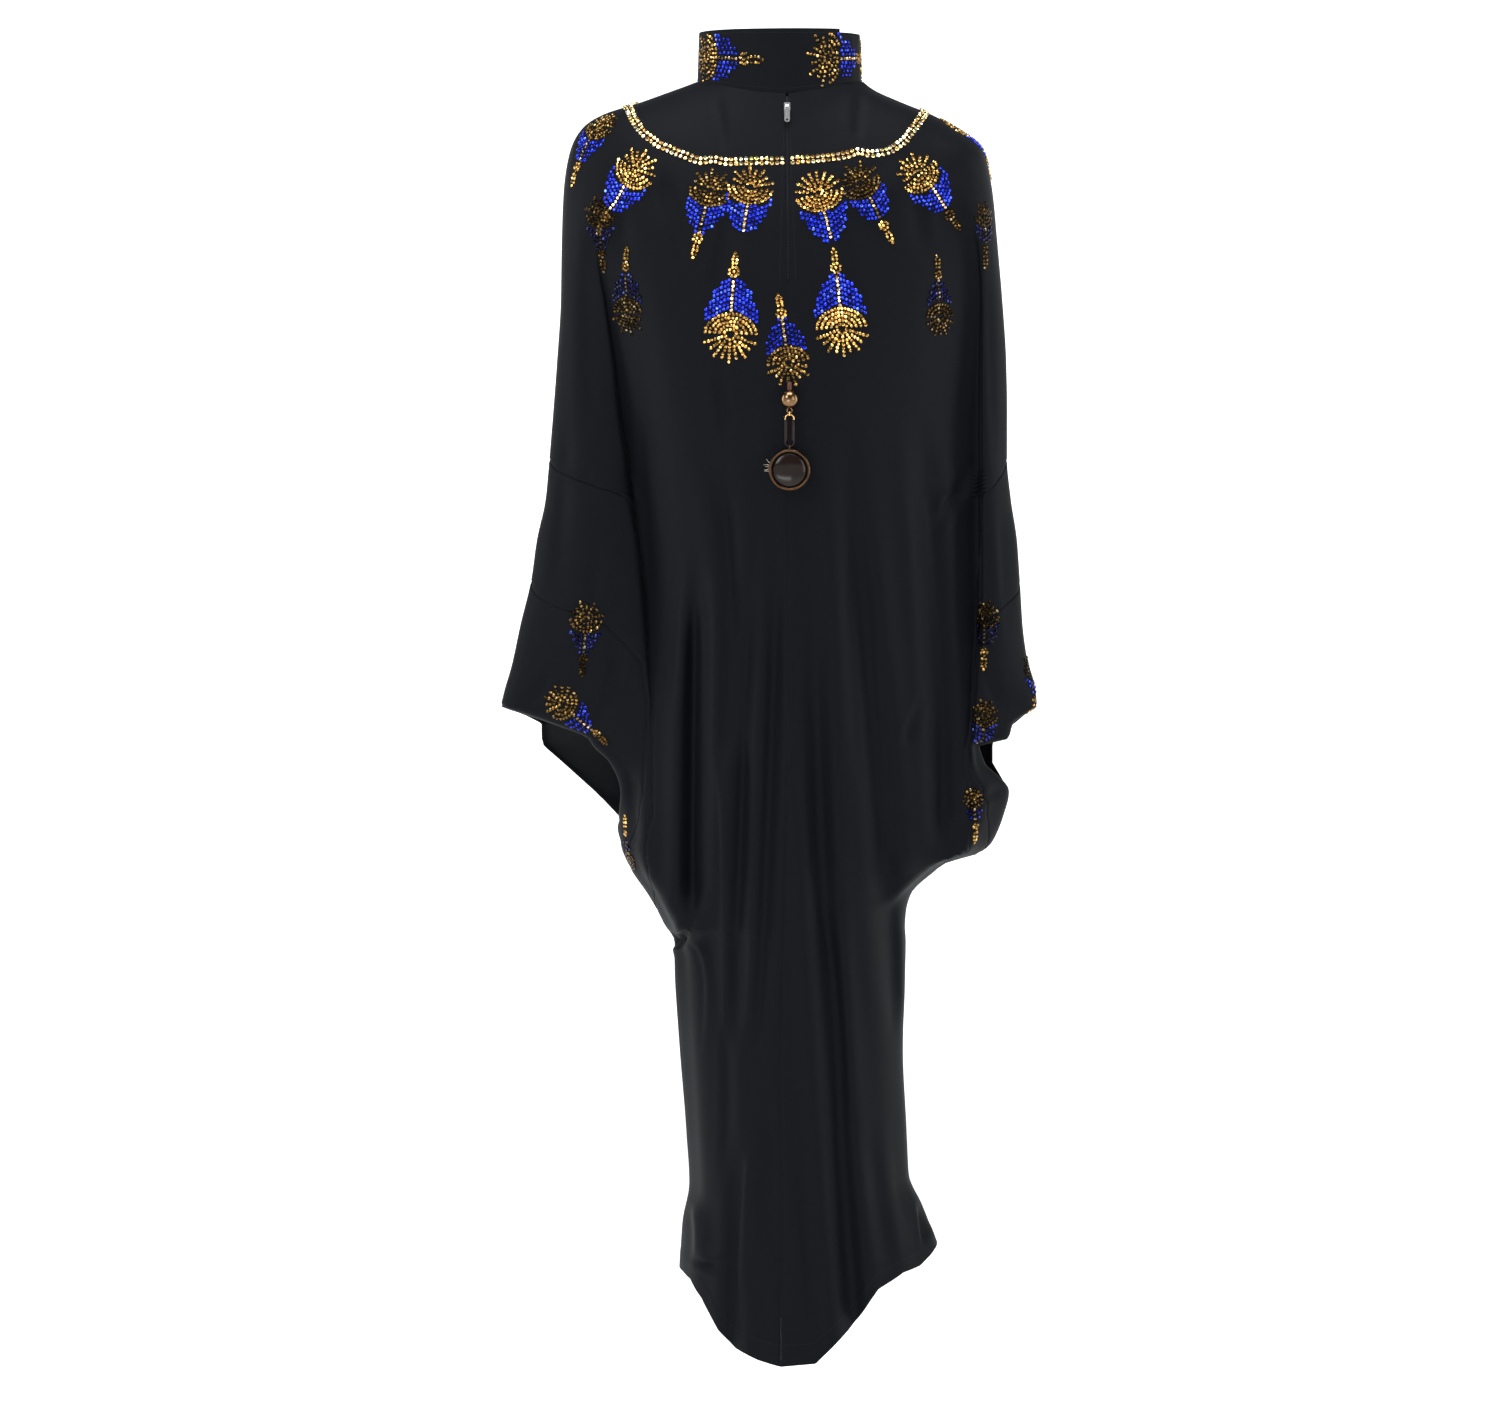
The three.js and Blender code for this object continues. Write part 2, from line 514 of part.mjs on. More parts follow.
// A closed wall from a grid of outer points and a grid of inner points.
function wallGeometry(outer, inner) {
  const rows = outer.length;
  const columns = outer[0].length;
  const positions = [];
  for (const grid of [outer, inner])
    for (const row of grid) for (const point of row) positions.push(point.x, point.y, point.z);
  const index = [];
  const quad = (a, b, c, d) => index.push(a, b, c, a, c, d);
  const o = (r, c) => r * columns + c;
  const n = (r, c) => rows * columns + r * columns + c;
  for (let r = 0; r < rows - 1; r += 1)
    for (let c = 0; c < columns - 1; c += 1) {
      quad(o(r, c), o(r + 1, c), o(r + 1, c + 1), o(r, c + 1));
      quad(n(r, c), n(r, c + 1), n(r + 1, c + 1), n(r + 1, c));
    }
  for (let c = 0; c < columns - 1; c += 1) {
    quad(o(0, c), o(0, c + 1), n(0, c + 1), n(0, c));
    quad(o(rows - 1, c + 1), o(rows - 1, c), n(rows - 1, c), n(rows - 1, c + 1));
  }
  for (let r = 0; r < rows - 1; r += 1) {
    quad(o(r, 0), n(r, 0), n(r + 1, 0), o(r + 1, 0));
    quad(o(r, columns - 1), o(r + 1, columns - 1), n(r + 1, columns - 1), n(r, columns - 1));
  }
  const geometry = new THREE.BufferGeometry();
  geometry.setAttribute("position", new THREE.Float32BufferAttribute(positions, 3));
  geometry.setIndex(index);
  return outwardFaces(geometry);
}

// Turns every face round when the volume inside comes out negative.
function outwardFaces(geometry) {
  const p = geometry.attributes.position;
  const index = Array.from(geometry.index.array);
  const [a, b, c] = [new THREE.Vector3(), new THREE.Vector3(), new THREE.Vector3()];
  let volume = 0;
  for (let i = 0; i < index.length; i += 3) {
    a.fromBufferAttribute(p, index[i]);
    b.fromBufferAttribute(p, index[i + 1]);
    c.fromBufferAttribute(p, index[i + 2]);
    volume += a.dot(b.cross(c));
  }
  if (volume < 0)
    for (let i = 0; i < index.length; i += 3)
      [index[i + 1], index[i + 2]] = [index[i + 2], index[i + 1]];
  geometry.setIndex(index);
  return geometry;
}

// The step in "round" that moves a seam's edge off the seam by half the gap.
function gapStep(isBack, seam, at, half) {
  const before = Math.max(0, at - 0.25);
  const after = Math.min(LAST_LEVEL, at + 0.25);
  const { across } = tangents(isBack, seam(at), at);
  const along = surface(isBack, seam(after), after).sub(surface(isBack, seam(before), before));
  const turn = across.clone().cross(along).length() / (across.length() * along.length() + 1e-9);
  return half / (across.length() * Math.max(0.2, turn));
}

// Numbers from start to end by way of the middle stops, with so many steps to each stop.
function spread(start, middle, end, steps) {
  const stops = [start, ...middle, end];
  const list = [start];
  steps.forEach((count, i) => {
    for (let j = 1; j <= count; j += 1) list.push(stops[i] + ((stops[i + 1] - stops[i]) * j) / count);
  });
  return list;
}

// A piece of cloth between two lines that run down the levels.
function panel({ isBack, from, to, first, last, middle, steps }) {
  const outer = [];
  const inner = [];
  for (const at of meshLevels.filter((v) => v >= first && v <= last)) {
    const start = from.line(at) + (from.half ? gapStep(isBack, from.line, at, from.half(at)) : 0);
    const end = to.line(at) - (to.half ? gapStep(isBack, to.line, at, to.half(at)) : 0);
    const outerRow = [];
    const innerRow = [];
    for (const round of spread(start, middle, end, steps)) {
      const point = surface(isBack, round, at);
      outerRow.push(point);
      const inside = point.clone().addScaledVector(outward(isBack, round, at), -WALL);
      innerRow.push(ownSide(isBack, inside));
    }
    outer.push(outerRow);
    inner.push(innerRow);
  }
  return wallGeometry(outer, inner);
}

const halfGap = () => SEAM_GAP / 2;
const centreHalf = (at) => (at <= ZIP.lastLevel ? ZIP.slit : SEAM_GAP / 2);
const edgeLine = (side) => ({ line: () => (side === "left" ? 0 : 14) });

// The line of a sleeve seam. Above and below it the piece next to it reaches the side edge.
function seamLine(side, table) {
  const first = levelAt(table[0].side);
  const last = levelAt(table[table.length - 1].side);
  const across = (at) => {
    if (at < first || at > last) return 0;
    return lookUp(table, "side", "across", level.side(at));
  };
  return {
    first,
    last,
    line: (at) => (side === "left" ? across(at) : 14 - across(at)),
    half: (at) => (at < first || at > last ? 0 : halfGap()),
  };
}

const seams = {
  left: { elbow: seamLine("left", LEFT_ELBOW), cuff: seamLine("left", LEFT_CUFF) },
  right: { elbow: seamLine("right", RIGHT_ELBOW), cuff: seamLine("right", RIGHT_CUFF) },
};
const centreLine = { line: () => 7, half: centreHalf };

const root = new THREE.Group();
root.name = "butterfly_abaya";
function addMesh(name, geometry, look) {
  const mesh = new THREE.Mesh(geometry, new THREE.MeshStandardMaterial(COLORS[look]));
  mesh.name = name;
  root.add(mesh);
}

// Cloth panels
const ARM_STOP = 4.2; // between here and the centre the columns of the mesh run straight down
const STEPS = { arm: 4, frontHalf: 10, back: 14, sleeve: 4, cuff: 5 };
const wholeLength = { first: 0, last: LAST_LEVEL };
const leftFront = { from: seams.left.elbow, middle: [ARM_STOP], to: centreLine };
const rightFront = { from: centreLine, middle: [14 - ARM_STOP], to: seams.right.elbow };
const wholeBack = { from: seams.left.elbow, middle: [ARM_STOP, 14 - ARM_STOP], to: seams.right.elbow };
const bodyPieces = {
  front_left: { isBack: false, ...leftFront, steps: [STEPS.arm, STEPS.frontHalf] },
  front_right: { isBack: false, ...rightFront, steps: [STEPS.frontHalf, STEPS.arm] },
  back: { isBack: true, ...wholeBack, steps: [STEPS.arm, STEPS.back, STEPS.arm] },
};
for (const [name, piece] of Object.entries(bodyPieces))
  addMesh(name, panel({ ...piece, ...wholeLength }), "cloth");
for (const side of ["left", "right"])
  for (const isBack of [false, true]) {
    const { elbow, cuff } = seams[side];
    const face = isBack ? "back" : "front";
    const order = (outside, inside) =>
      side === "left" ? { from: outside, to: inside } : { from: inside, to: outside };
    const sleeve = { isBack, first: elbow.first, last: elbow.last, middle: [], steps: [STEPS.sleeve] };
    const band = { isBack, first: cuff.first, last: cuff.last, middle: [], steps: [STEPS.cuff] };
    addMesh(`sleeve_${face}_${side}`, panel({ ...sleeve, ...order(cuff, elbow) }), "cloth");
    addMesh(`cuff_${face}_${side}`, panel({ ...band, ...order(edgeLine(side), cuff) }), "cloth");
  }

// Stand collar: one strip that starts outside at the right of the throat, goes round the neck
// by the left and the back, and ends inside its own beginning.
const neckHeight = (c, s) => surface(s > 0, 7 + (14 / Math.PI) * Math.asin(c), 0).z;
function collarGeometry() {
  const outer = [];
  const inner = [];
  const startAngle = THREE.MathUtils.degToRad(COLLAR.startAngle);
  const turn = THREE.MathUtils.degToRad(360 + COLLAR.lap);
  for (const share of [0, 0.5, 1]) {
    const outerRow = [];
    const innerRow = [];
    for (let i = 0; i <= COLLAR.steps; i += 1) {
      const done = i / COLLAR.steps;
      const angle = startAngle - turn * done;
      const shrink = COLLAR.spiral * done;
      const [c, s] = [Math.cos(angle), Math.sin(angle)];
      const bottom = neckHeight(c, s) + COLLAR.lift;
      const top = COLLAR.height - COLLAR.backDip * s + COLLAR.sideRise * c * c - COLLAR.endDrop * done;
      const z = bottom + share * (top - bottom);
      const depth = s < 0 ? NECK.front : NECK.back;
      const lean = COLLAR.lean * share;
      const at = (inset) =>
        new THREE.Vector3(
          (NECK.halfWidth - shrink - lean - inset) * c,
          (depth - shrink - lean - inset) * s,
          z,
        );
      outerRow.push(at(0));
      innerRow.push(at(COLLAR.wall));
    }
    outer.push(outerRow);
    inner.push(innerRow);
  }
  return wallGeometry(outer, inner);
}
addMesh("collar", collarGeometry(), "cloth");

// Zip tape behind the slit, with the coil standing up into it.
function zipGeometry() {
  const under = WALL + ZIP.clear;
  const coilFoot = ZIP.coilHalf + ZIP.coilSide;
  const section = [
    { off: -ZIP.tapeHalf, depth: under },
    { off: -coilFoot, depth: under },
    { off: -ZIP.coilHalf, depth: ZIP.coilDepth },
    { off: ZIP.coilHalf, depth: ZIP.coilDepth },
    { off: coilFoot, depth: under },
    { off: ZIP.tapeHalf, depth: under },
  ];
  const outer = [];
  const inner = [];
  for (let at = ZIP.firstLevel; at <= ZIP.lastLevel; at += ZIP.levelStep) {
    const perRound = tangents(false, 7, at).across.length();
    const rows = section.map(({ off, depth }) => {
      const round = 7 + off / perRound;
      const point = surface(false, round, at);
      const normal = outward(false, round, at);
      return {
        outer: point.clone().addScaledVector(normal, -depth),
        inner: point.clone().addScaledVector(normal, -under - ZIP.tapeWall),
      };
    });
    outer.push(rows.map((row) => row.outer));
    inner.push(rows.map((row) => row.inner));
  }
  return wallGeometry(outer, inner);
}
addMesh("zip_tape", zipGeometry(), "zip");

function solidOf(geometry) {
  const bare = geometry.clone();
  bare.deleteAttribute("normal");
  bare.deleteAttribute("uv");
  const merged = mergeVertices(bare, 1e-4);
  return new Manifold(
    new Mesh({
      numProp: 3,
      vertProperties: new Float32Array(merged.attributes.position.array),
      triVerts: new Uint32Array(merged.index.array),
    }),
  );
}
function geometryOf(solid) {
  const mesh = solid.getMesh();
  const geometry = new THREE.BufferGeometry();
  geometry.setAttribute("position", new THREE.BufferAttribute(mesh.vertProperties, 3));
  geometry.setIndex(new THREE.BufferAttribute(mesh.triVerts, 1));
  return geometry;
}
const joined = (geometries) => geometryOf(geometries.map(solidOf).reduce((a, b) => a.add(b)));
const cylinderX = (radius, length, sides) =>
  new THREE.CylinderGeometry(radius, radius, length, sides).rotateZ(Math.PI / 2);

// The slider's own frame: X across the zip, Y up along it, Z out of the cloth.
function zipFrame() {
  const at = SLIDER.level;
  const { down } = tangents(false, 7, at);
  const up = down.clone().setX(0).negate().normalize();
  const x = new THREE.Vector3(1, 0, 0);
  const out = x.clone().cross(up);
  return new THREE.Matrix4().makeBasis(x, up, out).setPosition(surface(false, 7, at));
}
const toZip = zipFrame();

function sliderGeometry() {
  const { width, length, thick, low } = SLIDER;
  const plate = new THREE.BoxGeometry(width, length, thick).translate(0, 0, low + thick / 2);
  const tall = LUG.pinHeight + LUG.over - low;
  const lugs = [-1, 1].map((side) =>
    new THREE.BoxGeometry(LUG.wide, LUG.deep, tall).translate(side * LUG.x, 0, low + tall / 2),
  );
  const pin = cylinderX(PULL.pin, 2 * LUG.x, 12).translate(0, 0, LUG.pinHeight);
  return joined([plate, ...lugs, pin]).applyMatrix4(toZip);
}
addMesh("zip_slider", sliderGeometry(), "silver");

function pullGeometry() {
  const { width, length, thick, knuckle, knuckleWidth, bore, neckStart, neckLength } = PULL;
  const tube = solidOf(cylinderX(knuckle, knuckleWidth, 20));
  const neckBox = new THREE.BoxGeometry(knuckleWidth, neckLength, thick);
  const neck = solidOf(neckBox.translate(0, -neckLength / 2 - neckStart, 0));
  const outline = new THREE.Shape();
  const half = width / 2;
  const [inset, drop] = PULL.chamfer;
  outline.moveTo(-half + inset, -neckLength);
  outline.lineTo(half - inset, -neckLength);
  outline.lineTo(half, -neckLength - drop);
  outline.lineTo(half, -length + half);
  outline.absarc(0, -length + half, half, 0, -Math.PI, true);
  outline.lineTo(-half, -neckLength - drop);
  outline.closePath();
  const eye = new THREE.Path().absarc(0, -length + half, PULL.eye, 0, 2 * Math.PI, false);
  outline.holes.push(eye);
  const blade = new THREE.ExtrudeGeometry(outline, { depth: thick, bevelEnabled: false, curveSegments: 8 });
  const body = tube.add(neck).add(solidOf(blade.translate(0, 0, -thick / 2)));
  const drilled = body.subtract(solidOf(cylinderX(bore, 4, 16)));
  return geometryOf(drilled).translate(0, 0, LUG.pinHeight).applyMatrix4(toZip);
}
addMesh("zip_pull", pullGeometry(), "silver");

// Pendant: a bead sewn to the cloth, a ring in its eye, a long link and a medallion.
const ring = (radius, wire, steps = 12) => new THREE.TorusGeometry(radius, wire, 6, steps);
const facingRing = (radius, wire, steps) => ring(radius, wire, steps).rotateX(Math.PI / 2);
const sidewaysRing = (radius, wire) => ring(radius, wire).rotateY(Math.PI / 2);
const beadY = (() => {
  let nearest = 0;
  for (let at = 9; at <= 11; at += 0.05)
    for (let round = 6.6; round <= 7.6; round += 0.1) nearest = Math.min(nearest, surface(false, round, at).y);
  return nearest - PENDANT.bead - PENDANT.play;
})();
// Each ring hangs in the one above it, its top wire lying over that one's bottom wire.
const over = 2 * PENDANT.wire + PENDANT.play;
const hang = { eye: PENDANT.z - PENDANT.bead - PENDANT.eye + PENDANT.sunk };
hang.ring = hang.eye - 2 * PENDANT.eye + over;
hang.linkTop = hang.ring - PENDANT.eye + over;
hang.linkBottom = hang.linkTop - PENDANT.linkLength;
hang.medallionEye = hang.linkBottom - PENDANT.eye + over;
hang.medallion = hang.medallionEye - PENDANT.eye - MEDALLION.radius + PENDANT.sunk;

addMesh(
  "pendant_bead",
  joined([
    new THREE.SphereGeometry(PENDANT.bead, 16, 10).rotateX(Math.PI / 2),
    facingRing(PENDANT.eye, PENDANT.wire).translate(0, 0, hang.eye - PENDANT.z),
  ]).translate(PENDANT.x, beadY, PENDANT.z),
  "gold",
);
addMesh(
  "pendant_ring",
  sidewaysRing(PENDANT.eye, PENDANT.wire).translate(PENDANT.x, beadY, hang.ring),
  "gold",
);

// A closed loop of wire with straight sides, standing in the XZ plane.
function linkGeometry() {
  const { linkWidth, linkLength, wire } = PENDANT;
  const bend = linkWidth / 2 - wire;
  const straight = linkLength / 2 - bend;
  const path = [];
  for (const end of [1, -1])
    for (let i = 0; i <= 8; i += 1) {
      const angle = (i / 8) * Math.PI;
      path.push([end * bend * Math.cos(angle), end * (straight + bend * Math.sin(angle))]);
    }
  const outer = [];
  const sides = 6;
  for (let i = 0; i <= sides; i += 1) {
    const turn = (i / sides) * 2 * Math.PI;
    outer.push(
      path.map(([x, z]) => {
        const middle = new THREE.Vector2(0, Math.max(-straight, Math.min(straight, z)));
        const away = new THREE.Vector2(x, z).sub(middle).setLength(wire * Math.cos(turn));
        return new THREE.Vector3(x + away.x, wire * Math.sin(turn), z + away.y);
      }),
    );
  }
  const positions = outer.slice(0, sides).flatMap((row) => row.flatMap((p) => [p.x, p.y, p.z]));
  const count = path.length;
  const index = [];
  for (let i = 0; i < sides; i += 1)
    for (let j = 0; j < count; j += 1) {
      const [a, b] = [i * count + j, i * count + ((j + 1) % count)];
      const [c, d] = [((i + 1) % sides) * count + j, ((i + 1) % sides) * count + ((j + 1) % count)];
      index.push(a, b, d, a, d, c);
    }
  const geometry = new THREE.BufferGeometry();
  geometry.setAttribute("position", new THREE.Float32BufferAttribute(positions, 3));
  geometry.setIndex(index);
  return outwardFaces(geometry);
}
const linkMiddle = (hang.linkTop + hang.linkBottom) / 2;
addMesh("pendant_link", linkGeometry().translate(PENDANT.x, beadY, linkMiddle), "dark");

// A domed dark stone in a bronze rim, with an eye that the link passes through.
function medallionParts() {
  const { radius, dome, rim, play } = MEDALLION;
  const stoneRadius = radius - 2 * rim - play;
  const steps = 6;
  const profile = [];
  for (let i = 0; i <= steps; i += 1) {
    const angle = ((i / steps) * Math.PI) / 2;
    profile.push(new THREE.Vector2(stoneRadius * Math.sin(angle), dome * Math.cos(angle)));
  }
  profile.push(new THREE.Vector2(stoneRadius, -rim / 2), new THREE.Vector2(0, -rim / 2));
  const stone = outwardFaces(new THREE.LatheGeometry(profile, 24)).rotateX(Math.PI);
  const hoop = facingRing(radius - rim, rim, 28);
  return { stone, hoop };
}
const { stone, hoop } = medallionParts();
const eyeUp = sidewaysRing(PENDANT.eye, PENDANT.wire).translate(0, 0, hang.medallionEye - hang.medallion);
const place = (geometry) => geometry.translate(PENDANT.x, beadY, hang.medallion);
addMesh("medallion_rim", place(joined([hoop, eyeUp])), "gold");
addMesh("medallion_stone", place(stone), "dark");

export default root;
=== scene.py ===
"""A butterfly abaya, filled out and hollow, with its stones, sewing, zip and pendant."""

import math

import bmesh
import bpy
import numpy as np
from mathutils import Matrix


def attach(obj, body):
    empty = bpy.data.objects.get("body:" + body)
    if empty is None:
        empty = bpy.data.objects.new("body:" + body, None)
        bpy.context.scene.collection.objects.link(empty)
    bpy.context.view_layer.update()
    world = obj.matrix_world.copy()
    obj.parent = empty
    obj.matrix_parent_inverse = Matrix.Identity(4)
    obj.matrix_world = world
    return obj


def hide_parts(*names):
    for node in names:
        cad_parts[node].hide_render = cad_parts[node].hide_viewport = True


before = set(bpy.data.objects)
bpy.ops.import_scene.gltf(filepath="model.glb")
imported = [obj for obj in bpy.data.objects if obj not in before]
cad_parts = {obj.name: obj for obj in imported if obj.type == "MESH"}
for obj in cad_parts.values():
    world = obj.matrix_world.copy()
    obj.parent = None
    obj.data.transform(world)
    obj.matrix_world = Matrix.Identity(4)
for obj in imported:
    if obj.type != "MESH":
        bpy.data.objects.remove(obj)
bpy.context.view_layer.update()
rng = np.random.default_rng(52)
MM = 0.001

# Cloth shape, in millimetres. "level" runs down these tables from the neck (0) to the hem (39);
# "round" runs across a level: 0 at the left side edge, 7 at the centre, 14 at the right side edge.
CLOTH = 1.3  # thickness of a sheet
SIDE_SHIFT = 0.18
SKIRT_TOP, SKIRT_END = -1090, -1323
NECK = {"half_width": 87, "front": 68, "back": 66}
EYE = (-31.2, -12000, -638)  # the camera, far off, level with the middle of the garment
VIEW_WIDTH = 1.56


def named(columns, rows):
    """A table as one array for each named column."""
    return dict(zip(columns.split(), np.array(rows, float).T))


LEVELS = named(
    "side front back front_depth back_depth",
    [
        (6, -9, 12, 68, 66), (-2, -34, -14, 77, 80), (-15, -62, -42, 88, 96),
        (-27, -90, -72, 99, 107), (-40, -114, -100, 107, 114), (-64, -138, -128, 114, 118),
        (-106, -168, -160, 120, 121), (-158, -205, -200, 126, 122), (-220, -250, -248, 130, 121),
        (-283, -300, -298, 133, 118), (-335, -342, -341, 133, 115), (-385, -387, -387, 132, 112),
        (-428, -428, -428, 131, 110), (-470, -470, -470, 130, 109), (-512, -512, -512, 129, 109),
        (-558, -558, -558, 128, 110), (-600, -600, -600, 128, 112), (-628, -628, -628, 128, 113),
        (-642, -642, -642, 128, 113), (-650, -650, -650, 128, 113), (-660, -660, -660, 128, 113),
        (-676, -676, -676, 128, 114), (-684, -684, -684, 128, 114), (-702, -702, -702, 128, 115),
        (-731, -731, -731, 128, 115), (-757, -757, -757, 128, 115), (-787, -787, -787, 127, 115),
        (-797, -797, -797, 127, 115), (-805, -805, -805, 127, 115), (-815, -815, -815, 127, 115),
        (-838, -838, -838, 126, 115), (-857, -857, -857, 125, 115), (-873, -873, -873, 125, 114),
        (-888, -888, -888, 124, 114), (-925, -925, -925, 122, 113),
        (-1000, -1000, -1000, 120, 112), (-1090, -1090, -1090, 120, 113),
        (-1172, -1172, -1172, 121, 115), (-1242, -1242, -1242, 122, 117),
        (-1323, -1323, -1323, 124, 118),
    ],
)


def side_table(rows):
    """The anchors of one side, level by level. A single number is the edge of a row like the body's."""
    whole = []
    for row, depth in zip(rows, LEVELS["front_depth"]):
        if isinstance(row, int):
            by_depth = [round(share * depth, 2) for share in (0.434, 0.62, 0.78, 0.9)]
            arm_y, fold_y, valley_y, body_y = by_depth
            row = (row, arm_y, round(0.78 * row, 2), fold_y, round(0.62 * row, 2), valley_y, body_y)
        whole.append(row)
    return named("edge arm_y fold_x fold_y valley_x valley_y body_y", whole)


LEFT = side_table(
    [
        87, 110, 146, 183, 204, 218, (225, 53, 182, 70, 158, 82, 106),
        (227, 50, 192, 60, 180, 62, 102), (228, 47, 184, 55, 174, 52, 102),
        (232, 46, 176, 51, 166, 45, 101), (236, 46, 171, 49, 160, 40, 99),
        (240, 46, 164, 49, 153, 38, 97), (244, 47, 159, 49, 148, 38, 95),
        (253, 48, 154, 50, 143, 39, 93), (259, 49, 150, 52, 138, 42, 92),
        (270, 50, 147, 54, 135, 46, 92), (279, 50, 145, 57, 132, 53, 92),
        (287, 46, 143, 59, 130, 59, 92), (290, 44, 142, 60, 129, 62, 92),
        (268, 48, 142, 61, 129, 63, 92), (239, 52, 142, 62, 129, 65, 92),
        (199, 54, 142, 62, 129, 66, 92), (194, 54, 142, 62, 129, 66, 92),
        (176, 52, 143, 61, 129, 67, 92), (165, 46, 142, 60, 129, 69, 93),
        (167, 43, 144, 63, 130, 73, 94), (165, 44, 144, 66, 129, 76, 95),
        (162, 45, 142, 67, 127, 77, 95), (158, 45, 140, 68, 125, 79, 96),
        (153, 46, 136, 69, 121, 80, 97), (137, 48, 122, 73, 109, 84, 98),
        (126, 50, 113, 76, 101, 88, 100), (118, 46, 104, 75, 93, 88, 101),
        (110, 34, 92, 57, 76, 74, 97), (109, 44, 86, 66, 68, 84, 104), 104, 97, 94, 101, 104,
    ]
)
RIGHT = side_table(
    [
        87, 98, 127, 157, 181, (211, 52, 178, 66, 150, 84, 100), (221, 47, 196, 60, 178, 64, 94),
        (226, 40, 208, 51, 196, 48, 92), (231, 36, 211, 44, 199, 39, 91),
        (235, 34, 211, 42, 199, 34, 89), (236, 34, 211, 42, 199, 31, 87),
        (236, 34, 211, 42, 199, 30, 86), (240, 36, 211, 43, 199, 30, 86),
        (246, 38, 211, 45, 199, 31, 86), (249, 40, 211, 46, 198, 32, 86),
        (252, 42, 210, 47, 197, 34, 86), (258, 43, 208, 49, 195, 37, 87),
        (266, 40, 206, 50, 194, 40, 87), (267, 38, 205, 51, 193, 42, 87),
        (256, 40, 205, 51, 193, 43, 87), (242, 43, 204, 52, 192, 45, 87),
        (236, 46, 202, 52, 190, 47, 87), (206, 46, 198, 52, 188, 48, 87),
        (212, 46, 199, 54, 186, 52, 87), (238, 38, 207, 54, 189, 54, 87),
        (232, 40, 204, 56, 186, 58, 88), (218, 42, 195, 60, 178, 64, 90),
        (203, 44, 183, 62, 167, 67, 92), (174, 45, 160, 64, 147, 72, 95),
        (160, 40, 146, 60, 133, 72, 97), (136, 46, 120, 66, 105, 80, 102), 131, 130, 131, 130, 128,
        132, 134, 148, 163,
    ]
)
LEFT_SLIT = named(
    "side back_edge front_lip back_lip",
    [
        (-642, 290, 0, 0), (-650, 268, 9, 8), (-660, 248, 18, 16), (-676, 248, 29, 26),
        (-684, 246, 32, 29), (-702, 225, 35, 31), (-731, 192, 24, 22), (-757, 167, 0, 0),
    ],
)
RIGHT_SLIT = named(
    "side back_edge front_lip back_lip",
    [
        (-642, 267, 0, 0), (-650, 256, 9, 8), (-660, 244, 18, 16), (-676, 222, 30, 26),
        (-684, 221, 34, 28), (-702, 221, 28, 26), (-731, 238, 0, 0),
    ],
)
FRONT_FOLDS = named(
    "top bottom x0 x1 x2 wide deep",
    [
        (-477, -872, -85, -88, -90, 10, 17), (-360, -715, -71, -50, -60, 10, 7),
        (-440, -1010, -23, -38, -44, 9, 9), (-430, -1020, -4, -12, -26, 8, 7),
        (-430, -1500, 29, 52, 98, 11, 12), (-330, -1010, 62, 96, 124, 12, 10),
        (-320, -812, 142, 162, 168, 11, 11), (-1060, -1500, -43, -48, -55, 9, 7),
    ],
)
BACK_FOLDS = named(
    "top bottom x0 x1 x2 wide deep",
    [
        (-300, -880, -108, -104, -92, 14, 16), (-260, -1500, -58, -46, -62, 13, 10),
        (-420, -1080, -16, -8, -14, 11, 8), (-340, -1500, 30, 36, 58, 13, 11),
        (-280, -960, 84, 82, 92, 12, 9), (-320, -812, 146, 150, 150, 13, 13),
    ],
)
LEFT_ELBOW = named(
    "side across",
    [
        (-385, 0.14), (-428, 3.1), (-512, 3.8), (-757, 3.9), (-815, 3), (-838, 1.8), (-857, 0.14),
    ],
)
LEFT_CUFF = named(
    "side across",
    [
        (-512, 0.14), (-558, 2.4), (-600, 3.05), (-702, 3.2), (-757, 2.8), (-787, 1.8),
        (-815, 0.14),
    ],
)
RIGHT_ELBOW = named(
    "side across",
    [
        (-385, 0.14), (-428, 3.3), (-512, 3.8), (-731, 3.9), (-787, 3), (-797, 2.2), (-815, 0.14),
    ],
)
RIGHT_CUFF = named(
    "side across",
    [
        (-512, 0.14), (-558, 3.1), (-702, 3.25), (-757, 2.3), (-787, 1.1), (-797, 0.14),
    ],
)
CENTRE_LINE = named("z x", [(20, 7), (-600, 9), (-845, 5), (-1022, 0), (-1400, 1)])
HEM_FRONT = -np.array(
    [1225, 1229, 1236, 1254, 1286, 1305, 1316, 1323, 1320, 1286, 1244, 1228, 1222, 1207, 1198]
)
HEM_BACK = -np.array(
    [1225, 1228, 1234, 1246, 1262, 1274, 1282, 1285, 1280, 1268, 1250, 1234, 1222, 1207, 1198]
)
HEIGHT_SHARE = np.array([0, 0.03, 0.12, 0.28, 0.48, 0.7, 0.9, 1])
LAST = 39

